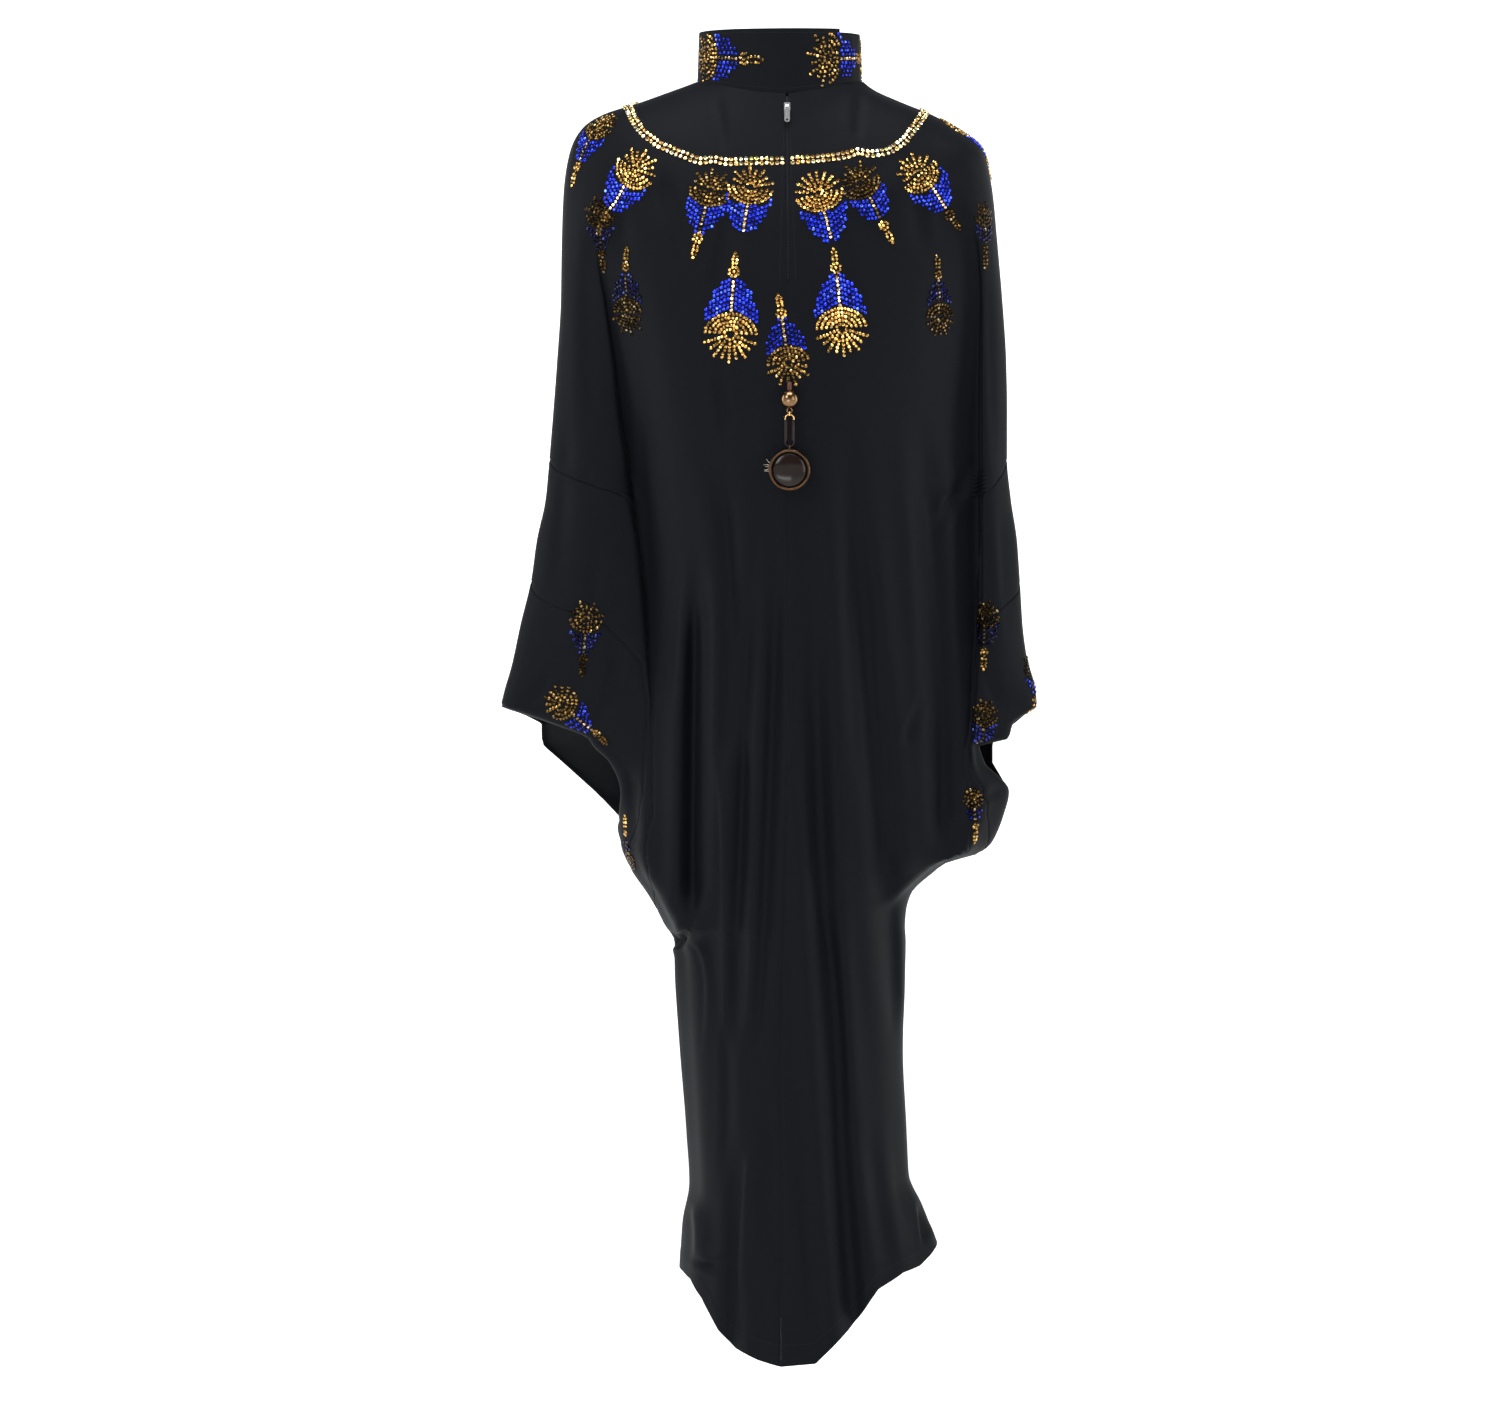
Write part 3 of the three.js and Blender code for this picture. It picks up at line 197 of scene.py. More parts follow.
# Creases laid over the large folds: a line through three points (x, z), half width and depth of the
# trough, and how much sharper its left side is than its right. A negative depth is a ridge.
FRONT_CREASES = [
    (-69, -6, -63, -38, -55, -80, 4.5, 2.6, 0.4),
    (84, -2, 83, -30, 79, -66, 4.5, 2.4, -0.3),
    (-123, -82, -112, -130, -95, -192, 8, 3.2, 0.3),
    (-176, -66, -168, -128, -160, -196, 9, 2.6, 0.2),
    (134, -60, 142, -118, 150, -190, 8, 2.8, -0.3),
    (-67, -288, -62, -330, -55, -374, 6, 2.6, 0.3),
    (194, -392, 178, -430, 156, -466, 6, 3.2, 0.2),
    (147, -626, 138, -658, 124, -690, 6, 3.0, 0.2),
    (121, -838, 123, -910, 123, -990, 5, -2.6, 0.2),
    (102, -560, 112, -680, 118, -806, 6, 2.4, 0.4),
    (68, -470, 74, -600, 84, -760, 7, 2.2, -0.3),
    (12, -520, 16, -640, 22, -800, 6, 2.0, 0.3),
    (44, -840, 58, -960, 64, -1120, 6, 2.6, 0.3),
    (-70, -700, -64, -800, -66, -930, 6, 2.6, -0.4),
    (-60, -960, -56, -1040, -60, -1150, 6, 2.2, 0.3),
    (-31, -1096, -37, -1180, -42, -1290, 5, -3.4, 0.4),
    (-90, -1213, -72, -1220, -48, -1214, 4, 4.2, 0.0),
    (-94, -1150, -84, -1186, -88, -1226, 7, -3.0, 0.2),
    (143, -1154, 147, -1180, 150, -1204, 4, 3.6, 0.4),
    (92, -1060, 104, -1160, 118, -1236, 8, 3.2, -0.2),
    (20, -1100, 26, -1190, 34, -1290, 8, 2.6, 0.3),
    (-12, -1030, -8, -1130, -4, -1260, 9, 2.0, -0.2),
    (-146, -300, -140, -420, -132, -560, 7, 2.4, 0.3),
    (-104, -470, -112, -560, -118, -660, 6, 2.2, 0.2),
    (-206, -150, -200, -260, -196, -380, 10, 2.6, 0.2),
    (-222, -330, -226, -430, -236, -540, 8, 1.8, 0.2),
    (-184, -470, -196, -540, -214, -610, 7, 2.6, -0.3),
    (-168, -560, -176, -620, -196, -668, 6, 2.2, 0.2),
    (-236, -600, -252, -630, -272, -646, 6, 2.0, 0.0),
    (214, -160, 218, -280, 220, -400, 6, 1.8, -0.2),
    (228, -420, 232, -500, 238, -590, 6, 1.8, 0.2),
    (206, -560, 214, -610, 230, -650, 6, 2.2, 0.2),
    (-158, -700, -154, -745, -150, -800, 5, 2.2, 0.3),
    (206, -700, 200, -740, 186, -780, 6, 2.4, 0.2),
    (180, -742, 214, -736, 236, -728, 4, 2.6, 0.0),
    (-50, -118, -58, -170, -70, -230, 9, 1.8, 0.2),
    (52, -130, 66, -190, 84, -260, 9, 2.0, -0.2),
    (-121, -868, -104, -887, -89, -850, 4.5, 7, 0.0),
    (-101, -884, -76, -914, -80, -1020, 4, -2.4, 0.3),
]
BACK_CREASES = [
    (-60, -10, -54, -50, -48, -96, 5, 2.4, -0.3),
    (62, -8, 56, -44, 50, -90, 5, 2.2, 0.3),
    (-128, -84, -120, -150, -104, -240, 9, 3.0, 0.3),
    (130, -80, 122, -140, 108, -226, 9, 3.0, -0.3),
    (-176, -420, -160, -520, -150, -640, 7, 3.0, 0.3),
    (180, -400, 168, -500, 156, -640, 7, 3.0, -0.2),
    (-30, -300, -24, -460, -30, -640, 7, 2.4, 0.3),
    (14, -360, 8, -520, 12, -700, 6, 2.2, -0.3),
    (64, -460, 70, -640, 66, -860, 7, 2.6, 0.2),
    (-84, -560, -78, -720, -74, -900, 7, 2.6, -0.2),
    (104, -760, 108, -900, 104, -1060, 7, 2.6, 0.3),
    (-40, -880, -34, -1000, -44, -1180, 7, 2.6, 0.2),
    (-80, -1040, -76, -1140, -84, -1230, 6, -3.0, 0.3),
    (28, -980, 36, -1100, 42, -1260, 8, 2.6, 0.2),
    (96, -1080, 108, -1170, 122, -1230, 7, 3.0, -0.2),
    (-8, -1060, -4, -1160, -2, -1280, 8, -2.4, 0.2),
    (-214, -200, -206, -330, -204, -470, 9, 2.4, 0.2),
    (216, -180, 214, -320, 214, -460, 8, 2.2, -0.2),
    (-214, -520, -228, -590, -250, -650, 7, 2.4, 0.2),
    (218, -560, 224, -610, 240, -656, 7, 2.4, 0.2),
    (-160, -760, -150, -800, -130, -840, 6, 2.6, 0.3),
    (176, -720, 164, -760, 150, -800, 6, 2.6, 0.2),
    (-224, -744, -192, -772, -150, -802, 6, 3.6, 0.3),
    (-214, -762, -182, -802, -146, -840, 6, -3.2, 0.2),
    (-198, -735, -172, -752, -146, -772, 5, 2.8, 0.0),
]


def curve(values):
    """A smooth curve through values at whole numbers, which never overshoots them."""
    values = np.asarray(values, float)
    step = np.diff(values)
    before, after = step[:-1], step[1:]
    same = before * after > 0
    middle = np.where(same, 2 * before * after / np.where(same, before + after, 1), 0)
    slope = np.concatenate([step[:1], middle, step[-1:]])

    def at(place):
        i = np.clip(np.floor(place).astype(int), 0, len(values) - 2)
        f = place - i
        ease = f * f * (3 - 2 * f)
        rise = ease * (values[i + 1] - values[i])
        return values[i] + rise + f * (1 - f) ** 2 * slope[i] - f * f * (1 - f) * slope[i + 1]

    return at


def look_up(table, key, column, at):
    """Straight interpolation down a table whose key falls."""
    return np.interp(-at, -table[key], table[column])


def smooth(low, high, at):
    f = np.clip((at - low) / (high - low), 0, 1)
    return f * f * (3 - 2 * f)


level = {key: curve(column) for key, column in LEVELS.items()}
SIDES = {
    "left": (-1, {key: curve(column) for key, column in LEFT.items()}, LEFT_SLIT),
    "right": (1, {key: curve(column) for key, column in RIGHT.items()}, RIGHT_SLIT),
}


def half_anchors(side, is_back, at):
    """The eight anchors of half a level, from the side edge to the centre: across, and out."""
    sign, columns, slit = SIDES[side]
    z = level["side"](at)
    depth = level["front_depth"](at)
    ratio = level["back_depth"](at) / depth if is_back else np.ones_like(depth)
    in_slit = (z < slit["side"][0]) & (z > slit["side"][-1])
    lip = np.where(in_slit, look_up(slit, "side", "back_lip" if is_back else "front_lip", z), 0)
    edge = columns["edge"](at)
    if is_back:
        edge = np.where(in_slit, look_up(slit, "side", "back_edge", z), edge)
    arm_y, fold_x, fold_y = (columns[k](at) for k in ("arm_y", "fold_x", "fold_y"))
    valley_x, valley_y = columns["valley_x"](at), columns["valley_y"](at)
    body_y = columns["body_y"](at) * ratio
    across = [edge, edge - 0.1 * (edge - fold_x), (edge + fold_x) / 2, fold_x]
    across += [valley_x, 0.7 * valley_x, 0.36 * valley_x, 0 * edge]
    out = [lip, lip + 0.5 * (arm_y - lip), np.maximum(arm_y, lip), fold_y]
    out += [valley_y * (0.5 + 0.5 * ratio), body_y, 0.25 * body_y + 0.75 * depth * ratio, depth * ratio]
    return sign * np.stack(across, -1), np.stack(out, -1)


def anchors(is_back, at):
    """The fifteen anchors of each level, with one more past each end for the tangent."""
    left_x, left_out = half_anchors("left", is_back, at)
    right_x, right_out = half_anchors("right", is_back, at)
    left_x[:, 7] = look_up(CENTRE_LINE, "z", "x", level["front"](at))
    x = np.concatenate([left_x, right_x[:, 6::-1]], 1)
    out = np.concatenate([left_out, right_out[:, 6::-1]], 1)
    share = np.concatenate([HEIGHT_SHARE, HEIGHT_SHARE[6::-1]])
    side, centre = level["side"](at)[:, None], level["back" if is_back else "front"](at)[:, None]
    points = np.stack([x, (1 if is_back else -1) * out, side + share * (centre - side)], -1)

    def beyond(end, inside):
        mirrored = np.stack([inside[:, 0], -inside[:, 1], inside[:, 2]], -1)
        straight = np.stack([2 * end[:, 0] - inside[:, 0], 2 * end[:, 1] - inside[:, 1], end[:, 2]], -1)
        return np.where(np.abs(end[:, 1:2]) < 1, mirrored, straight)

    first, last = beyond(points[:, 0], points[:, 1]), beyond(points[:, 14], points[:, 13])
    return np.concatenate([first[:, None], points, last[:, None]], 1)


def troughs(folds, x, z):
    """How far all the large folds together push the cloth in at a place."""
    total = np.zeros_like(x)
    for top, bottom, x0, x1, x2, wide, deep in zip(*folds.values()):
        run = (top - z) / (top - bottom)
        middle = x0 * (1 - run) * (1 - 2 * run) + 4 * x1 * run * (1 - run) + x2 * run * (2 * run - 1)
        off = (x - middle) / wide
        fade = smooth(0, 0.3, run) * (1 - smooth(0.86, 1, run)) * ((run > 0) & (run < 1))
        total += deep * fade * (np.exp(-off * off) - 0.35 * np.exp(-((np.abs(off) - 2) ** 2)))
    return total


def surface(is_back, across, at):
    """Points of the outer face of the cloth, the same as the solids have."""
    points = anchors(is_back, at)
    i = np.clip(np.floor(across).astype(int), 0, 13)
    f = (across - i)[:, None]
    row = np.arange(len(at))
    a, b, c, d = (points[row, i + k] for k in range(4))
    p = b + 0.5 * f * (c - a) + f * f * (a - 2.5 * b + 2 * c - 0.5 * d)
    p = p + f**3 * (-0.5 * a + 1.5 * b - 1.5 * c + 0.5 * d)
    facing = 1 if is_back else -1
    hem = HEM_BACK if is_back else HEM_FRONT
    hem_z = np.interp(across, np.arange(15), hem)
    share = (SKIRT_TOP - p[:, 2]) / (SKIRT_TOP - SKIRT_END)
    p[:, 2] = np.where(p[:, 2] < SKIRT_TOP, SKIRT_TOP + share * (hem_z - SKIRT_TOP), p[:, 2])
    inner = smooth(0.4, 2.2, np.minimum(across, 14 - across))
    p[:, 1] -= facing * inner * troughs(BACK_FOLDS if is_back else FRONT_FOLDS, p[:, 0], p[:, 2])
    p[:, 1] += facing * SIDE_SHIFT
    p[:, 1] = np.maximum(SIDE_SHIFT, p[:, 1]) if is_back else np.minimum(-SIDE_SHIFT, p[:, 1])
    return p


STEP = 0.02


def tangents(shape, is_back, across, at):
    r0, r1 = np.maximum(0, across - STEP), np.minimum(14, across + STEP)
    v0, v1 = np.maximum(0, at - STEP), np.minimum(LAST, at + STEP)
    a = (shape(is_back, r1, at) - shape(is_back, r0, at)) / (r1 - r0)[:, None]
    d = (shape(is_back, across, v1) - shape(is_back, across, v0)) / (v1 - v0)[:, None]
    return a, d


def run_length(points):
    """Distance gone along a line of points at each of them."""
    return np.concatenate([[0], np.cumsum(np.linalg.norm(np.diff(points, axis=0), axis=1))])


def unit(v):
    return v / np.maximum(1e-9, np.linalg.norm(v, axis=-1, keepdims=True))


def outward(shape, is_back, across, at):
    a, d = tangents(shape, is_back, across, at)
    return unit(np.cross(d, a)) * (-1 if is_back else 1)


def crease_push(rows, x, z):
    """How far the creases push the cloth in at a place."""
    total = np.zeros_like(x)
    t = np.linspace(0, 1, 15)
    for x0, z0, x1, z1, x2, z2, wide, deep, lean in rows:
        reach = 4 * wide
        near = (x > min(x0, x1, x2) - reach) & (x < max(x0, x1, x2) + reach)
        near &= (z < max(z0, z1, z2) + reach) & (z > min(z0, z1, z2) - reach)
        near_x, near_z = x[near][:, None], z[near][:, None]
        line_x = x0 * (1 - t) * (1 - 2 * t) + 4 * x1 * t * (1 - t) + x2 * t * (2 * t - 1)
        line_z = z0 * (1 - t) * (1 - 2 * t) + 4 * z1 * t * (1 - t) + z2 * t * (2 * t - 1)
        dx, dz = np.diff(line_x), np.diff(line_z)
        from_x, from_z = near_x - line_x[:-1], near_z - line_z[:-1]
        along = np.clip((from_x * dx + from_z * dz) / (dx * dx + dz * dz), 0, 1)
        off_x, off_z = from_x - along * dx, from_z - along * dz
        gap = np.hypot(off_x, off_z)
        best = np.argmin(gap, 1)
        row = np.arange(len(best))
        run = (best + along[row, best]) / (len(t) - 1)
        side = np.sign(off_x[row, best])
        off = gap[row, best] / (wide * (1 + lean * side))
        fade = smooth(0, 0.35, run) * (1 - smooth(0.65, 1, run))
        total[near] += deep * fade * (np.exp(-off * off) - 0.3 * np.exp(-((off - 1.9) ** 2)))
    return total


# The slight unevenness of hanging cloth: waves across the arc of the garment, long down it.
WAVES = [
    (rng.uniform(0.02, 0.085), rng.uniform(-0.016, 0.016), rng.uniform(0, 6.28), rng.uniform(0.25, 0.6))
    for _ in range(16)
]


def unevenness(is_back, across, z):
    arc = across * 38 + (700 if is_back else 0)
    return sum(size * np.sin(kx * arc + kz * z + phase) for kx, kz, phase, size in WAVES)


def cloth(is_back, across, at):
    """The outer face with its creases."""
    p = surface(is_back, across, at)
    push = crease_push(BACK_CREASES if is_back else FRONT_CREASES, p[:, 0], p[:, 2])
    calm = smooth(0, 0.5, np.minimum(across, 14 - across)) * smooth(0, 1.2, at)
    push = calm * (push - 0.55 * unevenness(is_back, across, p[:, 2]))
    return p - push[:, None] * outward(surface, is_back, across, at)


# Arc length in millimetres at each whole round of half a level, to space the columns of a sheet.
ARC = np.array([0, 12, 42, 74, 94, 136, 180, 226])
ROUND_ARC = np.concatenate([ARC, 452 - ARC[6::-1]])


def rows_between(first, last, spacing):
    """Levels about so many millimetres apart, whole tips of seams included."""
    fine = np.linspace(first, last, 4000)
    height = 0.5 * (level["side"](fine) + level["front"](fine))
    count = max(4, int((height[0] - height[-1]) / spacing))
    return np.interp(np.linspace(-height[0], -height[-1], count), -height, fine)


def level_at(side):
    return int(np.argmin(np.abs(LEVELS["side"] - side)))


def gap_step(is_back, line, at, half):
    """The step in "round" that moves a seam's edge off the seam by half the gap."""
    before, after = np.maximum(0, at - 0.25), np.minimum(LAST, at + 0.25)
    a, _ = tangents(surface, is_back, line(at), at)
    along = surface(is_back, line(after), after) - surface(is_back, line(before), before)
    size = np.linalg.norm(a, axis=1)
    turn = np.linalg.norm(np.cross(a, along), axis=1) / (size * np.linalg.norm(along, axis=1) + 1e-9)
    return half / (size * np.maximum(0.2, turn))


class Seam:
    """A sleeve seam. Above and below it the piece next to it reaches the side edge."""

    def __init__(self, side, table):
        self.side, self.table = side, table
        self.first, self.last = level_at(table["side"][0]), level_at(table["side"][-1])

    def line(self, at):
        across = look_up(self.table, "side", "across", level["side"](at))
        across = np.where((at < self.first) | (at > self.last), 0, across)
        return across if self.side == "left" else 14 - across

    def half(self, at):
        return np.where((at < self.first) | (at > self.last), 0, SEAM_HALF)

    def sewn(self, at):
        return np.ones_like(at)


class Line:
    """A straight border: the centre front with the zip slit, or a side edge with the hand slit."""

    def __init__(self, across, half=0, slit=None, zip_half=None):
        self.across, self.gap, self.slit, self.zip_half = across, half, slit, zip_half

    def line(self, at):
        return np.full_like(at, self.across)

    def half(self, at):
        gap = np.full_like(at, self.gap)
        return gap if self.zip_half is None else np.where(at <= ZIP_LAST, self.zip_half, gap)

    def sewn(self, at):
        if self.slit is None:
            return np.where(at <= ZIP_LAST, 0.3, 1.0) if self.zip_half else np.ones_like(at)
        z = level["side"](at)
        return np.where((z < self.slit["side"][0]) & (z > self.slit["side"][-1]), 0.0, 1.0)


SEAM_HALF = 0.01
ZIP_HALF, ZIP_LAST = 1.3, 7
SEAMS = {
    "left": (Seam("left", LEFT_ELBOW), Seam("left", LEFT_CUFF), Line(0, slit=LEFT_SLIT)),
    "right": (Seam("right", RIGHT_ELBOW), Seam("right", RIGHT_CUFF), Line(14, slit=RIGHT_SLIT)),
}
CENTRE = Line(7, SEAM_HALF, zip_half=ZIP_HALF)


def edge_distance(points, reverse=False):
    """Distance in millimetres along each row of a grid of points from its start, or from its end."""
    steps = np.linalg.norm(np.diff(points, axis=1), axis=2)
    gone = np.concatenate([np.zeros((len(points), 1)), np.cumsum(steps, 1)], 1)
    return gone[:, -1:] - gone if reverse else gone


def sheet_mesh(name, outer, inner, made):
    """A closed thin shell from a grid of outer points and one of inner points, in millimetres."""
    rows, columns = outer.shape[:2]
    points = np.concatenate([outer.reshape(-1, 3), inner.reshape(-1, 3)]) * MM
    grid = np.arange(rows * columns).reshape(rows, columns)
    back = grid + rows * columns

    def quads(a, b, c, d):
        return np.stack([a.ravel(), b.ravel(), c.ravel(), d.ravel()], 1)

    faces = [
        quads(grid[:-1, :-1], grid[1:, :-1], grid[1:, 1:], grid[:-1, 1:]),
        quads(back[:-1, :-1], back[:-1, 1:], back[1:, 1:], back[1:, :-1]),
        quads(grid[0, :-1], grid[0, 1:], back[0, 1:], back[0, :-1]),
        quads(grid[-1, 1:], grid[-1, :-1], back[-1, :-1], back[-1, 1:]),
        quads(grid[:-1, 0], back[:-1, 0], back[1:, 0], grid[1:, 0]),
        quads(grid[:-1, -1], grid[1:, -1], back[1:, -1], back[:-1, -1]),
    ]
    faces = np.concatenate(faces)
    a, b, c, d = (points[faces[:, k]] for k in range(4))
    if (np.cross(c - a, d - b) * a).sum() < 0:
        faces = faces[:, ::-1]
    return make_mesh(name, points, faces, made, smooth_angle=50)


def make_mesh(name, points, faces, made, smooth_angle=None, tint=None):
    mesh = bpy.data.meshes.new(name)
    mesh.from_pydata(points.tolist(), [], faces if isinstance(faces, list) else faces.tolist())
    mesh.update()
    if smooth_angle:
        mesh.shade_smooth()
        mesh.set_sharp_from_angle(angle=math.radians(smooth_angle))
    if tint is not None:
        colours = mesh.color_attributes.new("tint", "FLOAT_COLOR", "POINT")
        colours.data.foreach_set("color", np.concatenate([tint, np.ones((len(tint), 1))], 1).ravel())
    mesh.materials.append(made)
    piece = bpy.data.objects.new(name, mesh)
    bpy.context.collection.objects.link(piece)
    return piece


def panel(is_back, start, end, first, last, columns, spacing, hem=False):
    """The outer and inner grid of a piece of cloth between two lines that run down the levels."""
    levels = rows_between(first, last, spacing)
    tips = [s for line in (start, end) if isinstance(line, Seam) for s in (line.first, line.last)]
    extra = [t + e for t in tips for e in (-0.001, 0, 0.001) if first <= t + e <= last]
    levels = np.unique(np.concatenate([levels, extra]))
    go = start.line(levels) + gap_step(is_back, start.line, levels, start.half(levels))
    stop = end.line(levels) - gap_step(is_back, end.line, levels, end.half(levels))
    whole = np.arange(15)
    arc_go, arc_stop = np.interp(go, whole, ROUND_ARC), np.interp(stop, whole, ROUND_ARC)
    share = np.linspace(0, 1, columns)
    arcs = arc_go[:, None] + (arc_stop - arc_go)[:, None] * share
    across = np.interp(arcs, ROUND_ARC, whole)
    at = np.repeat(levels[:, None], columns, 1)
    shape = at.shape
    points = cloth(is_back, across.ravel(), at.ravel()).reshape(*shape, 3)
    normal = outward(surface, is_back, across.ravel(), at.ravel()).reshape(*shape, 3)
    lift = np.zeros(shape)
    for line, reverse in ((start, False), (end, True)):
        gap = edge_distance(points, reverse)
        sewn = line.sewn(levels)[:, None]
        pucker = 1 + 0.35 * np.sin(levels[:, None] * 40 + (3 if is_back else 0))
        lift -= sewn * 0.9 * np.exp(-((gap / 2.2) ** 2)) * pucker
        lift += (1 - sewn) * hem_fold(gap)
    if hem:
        up = edge_distance(points.transpose(1, 0, 2), True).T
        lift += hem_fold(up)
    outer = points + lift[:, :, None] * normal
    inner = outer - CLOTH * normal
    low = 0.05
    for grid in (outer, inner):
        grid[:, :, 1] = np.maximum(low, grid[:, :, 1]) if is_back else np.minimum(-low, grid[:, :, 1])
    return outer, inner


def hem_fold(gap):
    """The turned-in hem: a little thicker for 20 mm, with a groove where it is stitched."""
    return 0.45 * (1 - smooth(19, 21, gap)) - 0.3 * np.exp(-((gap - 18.2) ** 2) / 0.8)


# Materials: procedural only.
def material(name, color, roughness, metallic=0.0, **sockets):
    made = bpy.data.materials.new(name)
    made.use_nodes = True
    shader = made.node_tree.nodes["Principled BSDF"]
    shader.inputs["Base Color"].default_value = (*color, 1)
    shader.inputs["Roughness"].default_value = roughness
    shader.inputs["Metallic"].default_value = metallic
    for key, value in sockets.items():
        shader.inputs[key.replace("_", " ")].default_value = value
    return made, made.node_tree, shader


def bumped(made, scale, strength, distance, kind="ShaderNodeTexNoise"):
    """Adds a fine relief, in object space."""
    _, tree, shader = made
    where = tree.nodes.new("ShaderNodeTexCoord")
    texture = tree.nodes.new(kind)
    texture.inputs["Scale"].default_value = scale
    bump = tree.nodes.new("ShaderNodeBump")
    bump.inputs["Strength"].default_value = strength
    bump.inputs["Distance"].default_value = distance
    tree.links.new(where.outputs["Object"], texture.inputs["Vector"])
    tree.links.new(texture.outputs[0], bump.inputs["Height"])
    tree.links.new(bump.outputs["Normal"], shader.inputs["Normal"])
    return made[0]


def tinted(made):
    _, tree, shader = made
    tint = tree.nodes.new("ShaderNodeVertexColor")
    tint.layer_name = "tint"
    tree.links.new(tint.outputs["Color"], shader.inputs["Base Color"])
    return made[0]


CREPE_GRAIN = (1100, 0.3, 0.0004)
crepe_look = {"Specular_IOR_Level": 0.04, "Sheen_Weight": 0.015, "Sheen_Roughness": 0.35}
crepe_look["Sheen_Tint"] = (0.8, 0.88, 1, 1)
crepe = bumped(material("black_crepe", (0.0023, 0.0027, 0.0038), 0.6, **crepe_look), *CREPE_GRAIN)
# The inner faces are painted far lighter than the outer crepe: painted light on the inside of the sheets,
# where shade falls.
crepe_inside_painted_light = material("crepe_inside_painted_light", (0.013, 0.014, 0.016), 0.7, **crepe_look)
crepe_inside_painted_light = bumped(crepe_inside_painted_light, *CREPE_GRAIN)
zip_black = material("zip_black", (0.003, 0.0035, 0.005), 0.6, Specular_IOR_Level=0.12)
zip_black = bumped(zip_black, 1500, 0.3, 0.0003)
silver = bumped(material("zip_silver", (0.62, 0.63, 0.65), 0.22, 1.0), 300, 0.05, 0.0002)
gold = bumped(material("warm_gold", (0.62, 0.36, 0.14), 0.25, 1.0), 260, 0.12, 0.0004)
antique = material("antique_gold", (0.13, 0.078, 0.04), 0.22, 1.0)
antique = bumped(antique, 300, 0.2, 0.0005, "ShaderNodeTexVoronoi")
bronze = bumped(material("dark_bronze", (0.05, 0.028, 0.015), 0.28, 1.0), 60, 0.12, 0.0008)
glossy_dark = material("glossy_dark", (0.006, 0.0035, 0.0025), 0.16, Specular_IOR_Level=0.16)
glossy_dark = bumped(glossy_dark, 60, 0.08, 0.001)
cord = material("dark_cord", (0.008, 0.0035, 0.0025), 0.35, Specular_IOR_Level=0.15)
cord = bumped(cord, 900, 0.3, 0.0003)
brown_tube = material("brown_tube", (0.05, 0.013, 0.008), 0.35, Specular_IOR_Level=0.2)
brown_tube = bumped(brown_tube, 200, 0.1, 0.0003)
hair = bumped(material("pale_hair", (0.42, 0.36, 0.3), 0.5), 900, 0.1, 0.0002)
thread = material("black_thread", (0.006, 0.0065, 0.008), 0.6, Specular_IOR_Level=0.1)
thread = bumped(thread, 2000, 0.2, 0.0002)
gold_stone = tinted(material("gold_rhinestone", (0.6, 0.38, 0.12), 0.12, 1.0))
blue_stone = tinted(material("blue_rhinestone", (0.01, 0.03, 0.62), 0.12, 0.85))


def wear(piece, body="garment"):
    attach(piece, body)
    return piece


# Sheets of cloth: the columns of each grid, the spacing of its rows in millimetres, and whether it has a
# hem.
BODY = {"columns": 92, "spacing": 4.3, "hem": True}
BACK = {"columns": 160, "spacing": 4.6, "hem": True}
SLEEVE = {"columns": 40, "spacing": 4.5}
CUFF = {"columns": 56, "spacing": 3.6}


def add_sheet(name, grids):
    piece = sheet_mesh(name + "_cloth", *grids, crepe)
    piece.data.materials.append(crepe_inside_painted_light)
    cells = (len(grids[0]) - 1) * (len(grids[0][0]) - 1)
    # Faces of the inner grid get the second, lighter material: painted light on the inside of the cloth.
    inside = np.zeros(len(piece.data.polygons), int)
    inside[cells : 2 * cells] = 1
    piece.data.polygons.foreach_set("material_index", inside)
    wear(piece)
    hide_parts(name)


left_elbow, right_elbow = SEAMS["left"][0], SEAMS["right"][0]
add_sheet("front_left", panel(False, left_elbow, CENTRE, 0, LAST, **BODY))
add_sheet("front_right", panel(False, CENTRE, right_elbow, 0, LAST, **BODY))
add_sheet("back", panel(True, left_elbow, right_elbow, 0, LAST, **BACK))
for side in ("left", "right"):
    elbow, cuff, edge = SEAMS[side]
    for is_back in (False, True):
        face = "back" if is_back else "front"
        sleeve = (cuff, elbow) if side == "left" else (elbow, cuff)
        band = (edge, cuff) if side == "left" else (cuff, edge)
        add_sheet(f"sleeve_{face}_{side}", panel(is_back, *sleeve, elbow.first, elbow.last, **SLEEVE))
        add_sheet(f"cuff_{face}_{side}", panel(is_back, *band, cuff.first, cuff.last, **CUFF))


# Stand collar: one strip that starts outside at the right of the throat and goes round by the left.
COLLAR = {"height": 48, "wall": 1.5, "lap": 40, "spiral": 3.2, "lift": 0.2}
COLLAR.update(side_drop=1.6, start=-44)


def neck_height(c, s):
    across = 7 + 14 / math.pi * np.arcsin(c)
    level_0 = np.zeros_like(across)
    return np.where(s > 0, surface(True, across, level_0)[:, 2], surface(False, across, level_0)[:, 2])


def collar_points(done, share, inset=0.0):
    """Points of the collar from how far round it they are and their share of its height."""
    turn = math.radians(360 + COLLAR["lap"])
    angle = math.radians(COLLAR["start"]) - turn * done
    c, s = np.cos(angle), np.sin(angle)
    bottom = neck_height(c, s) + COLLAR["lift"] - COLLAR["side_drop"] * c * c
    top = COLLAR["height"] + 8 - 3 * s + 2 * c * c - 4 * done
    depth = np.where(s < 0, NECK["front"], NECK["back"])
    ripple = 0.5 * np.sin(9 * angle + 2 * share) * share + 0.35 * np.sin(23 * angle)
    lean = COLLAR["spiral"] * done + 1.5 * share + inset - 0.4 * ripple
    z = bottom + share * (top - bottom)
    return np.stack([(NECK["half_width"] - lean) * c, (depth - lean) * s, z], -1)


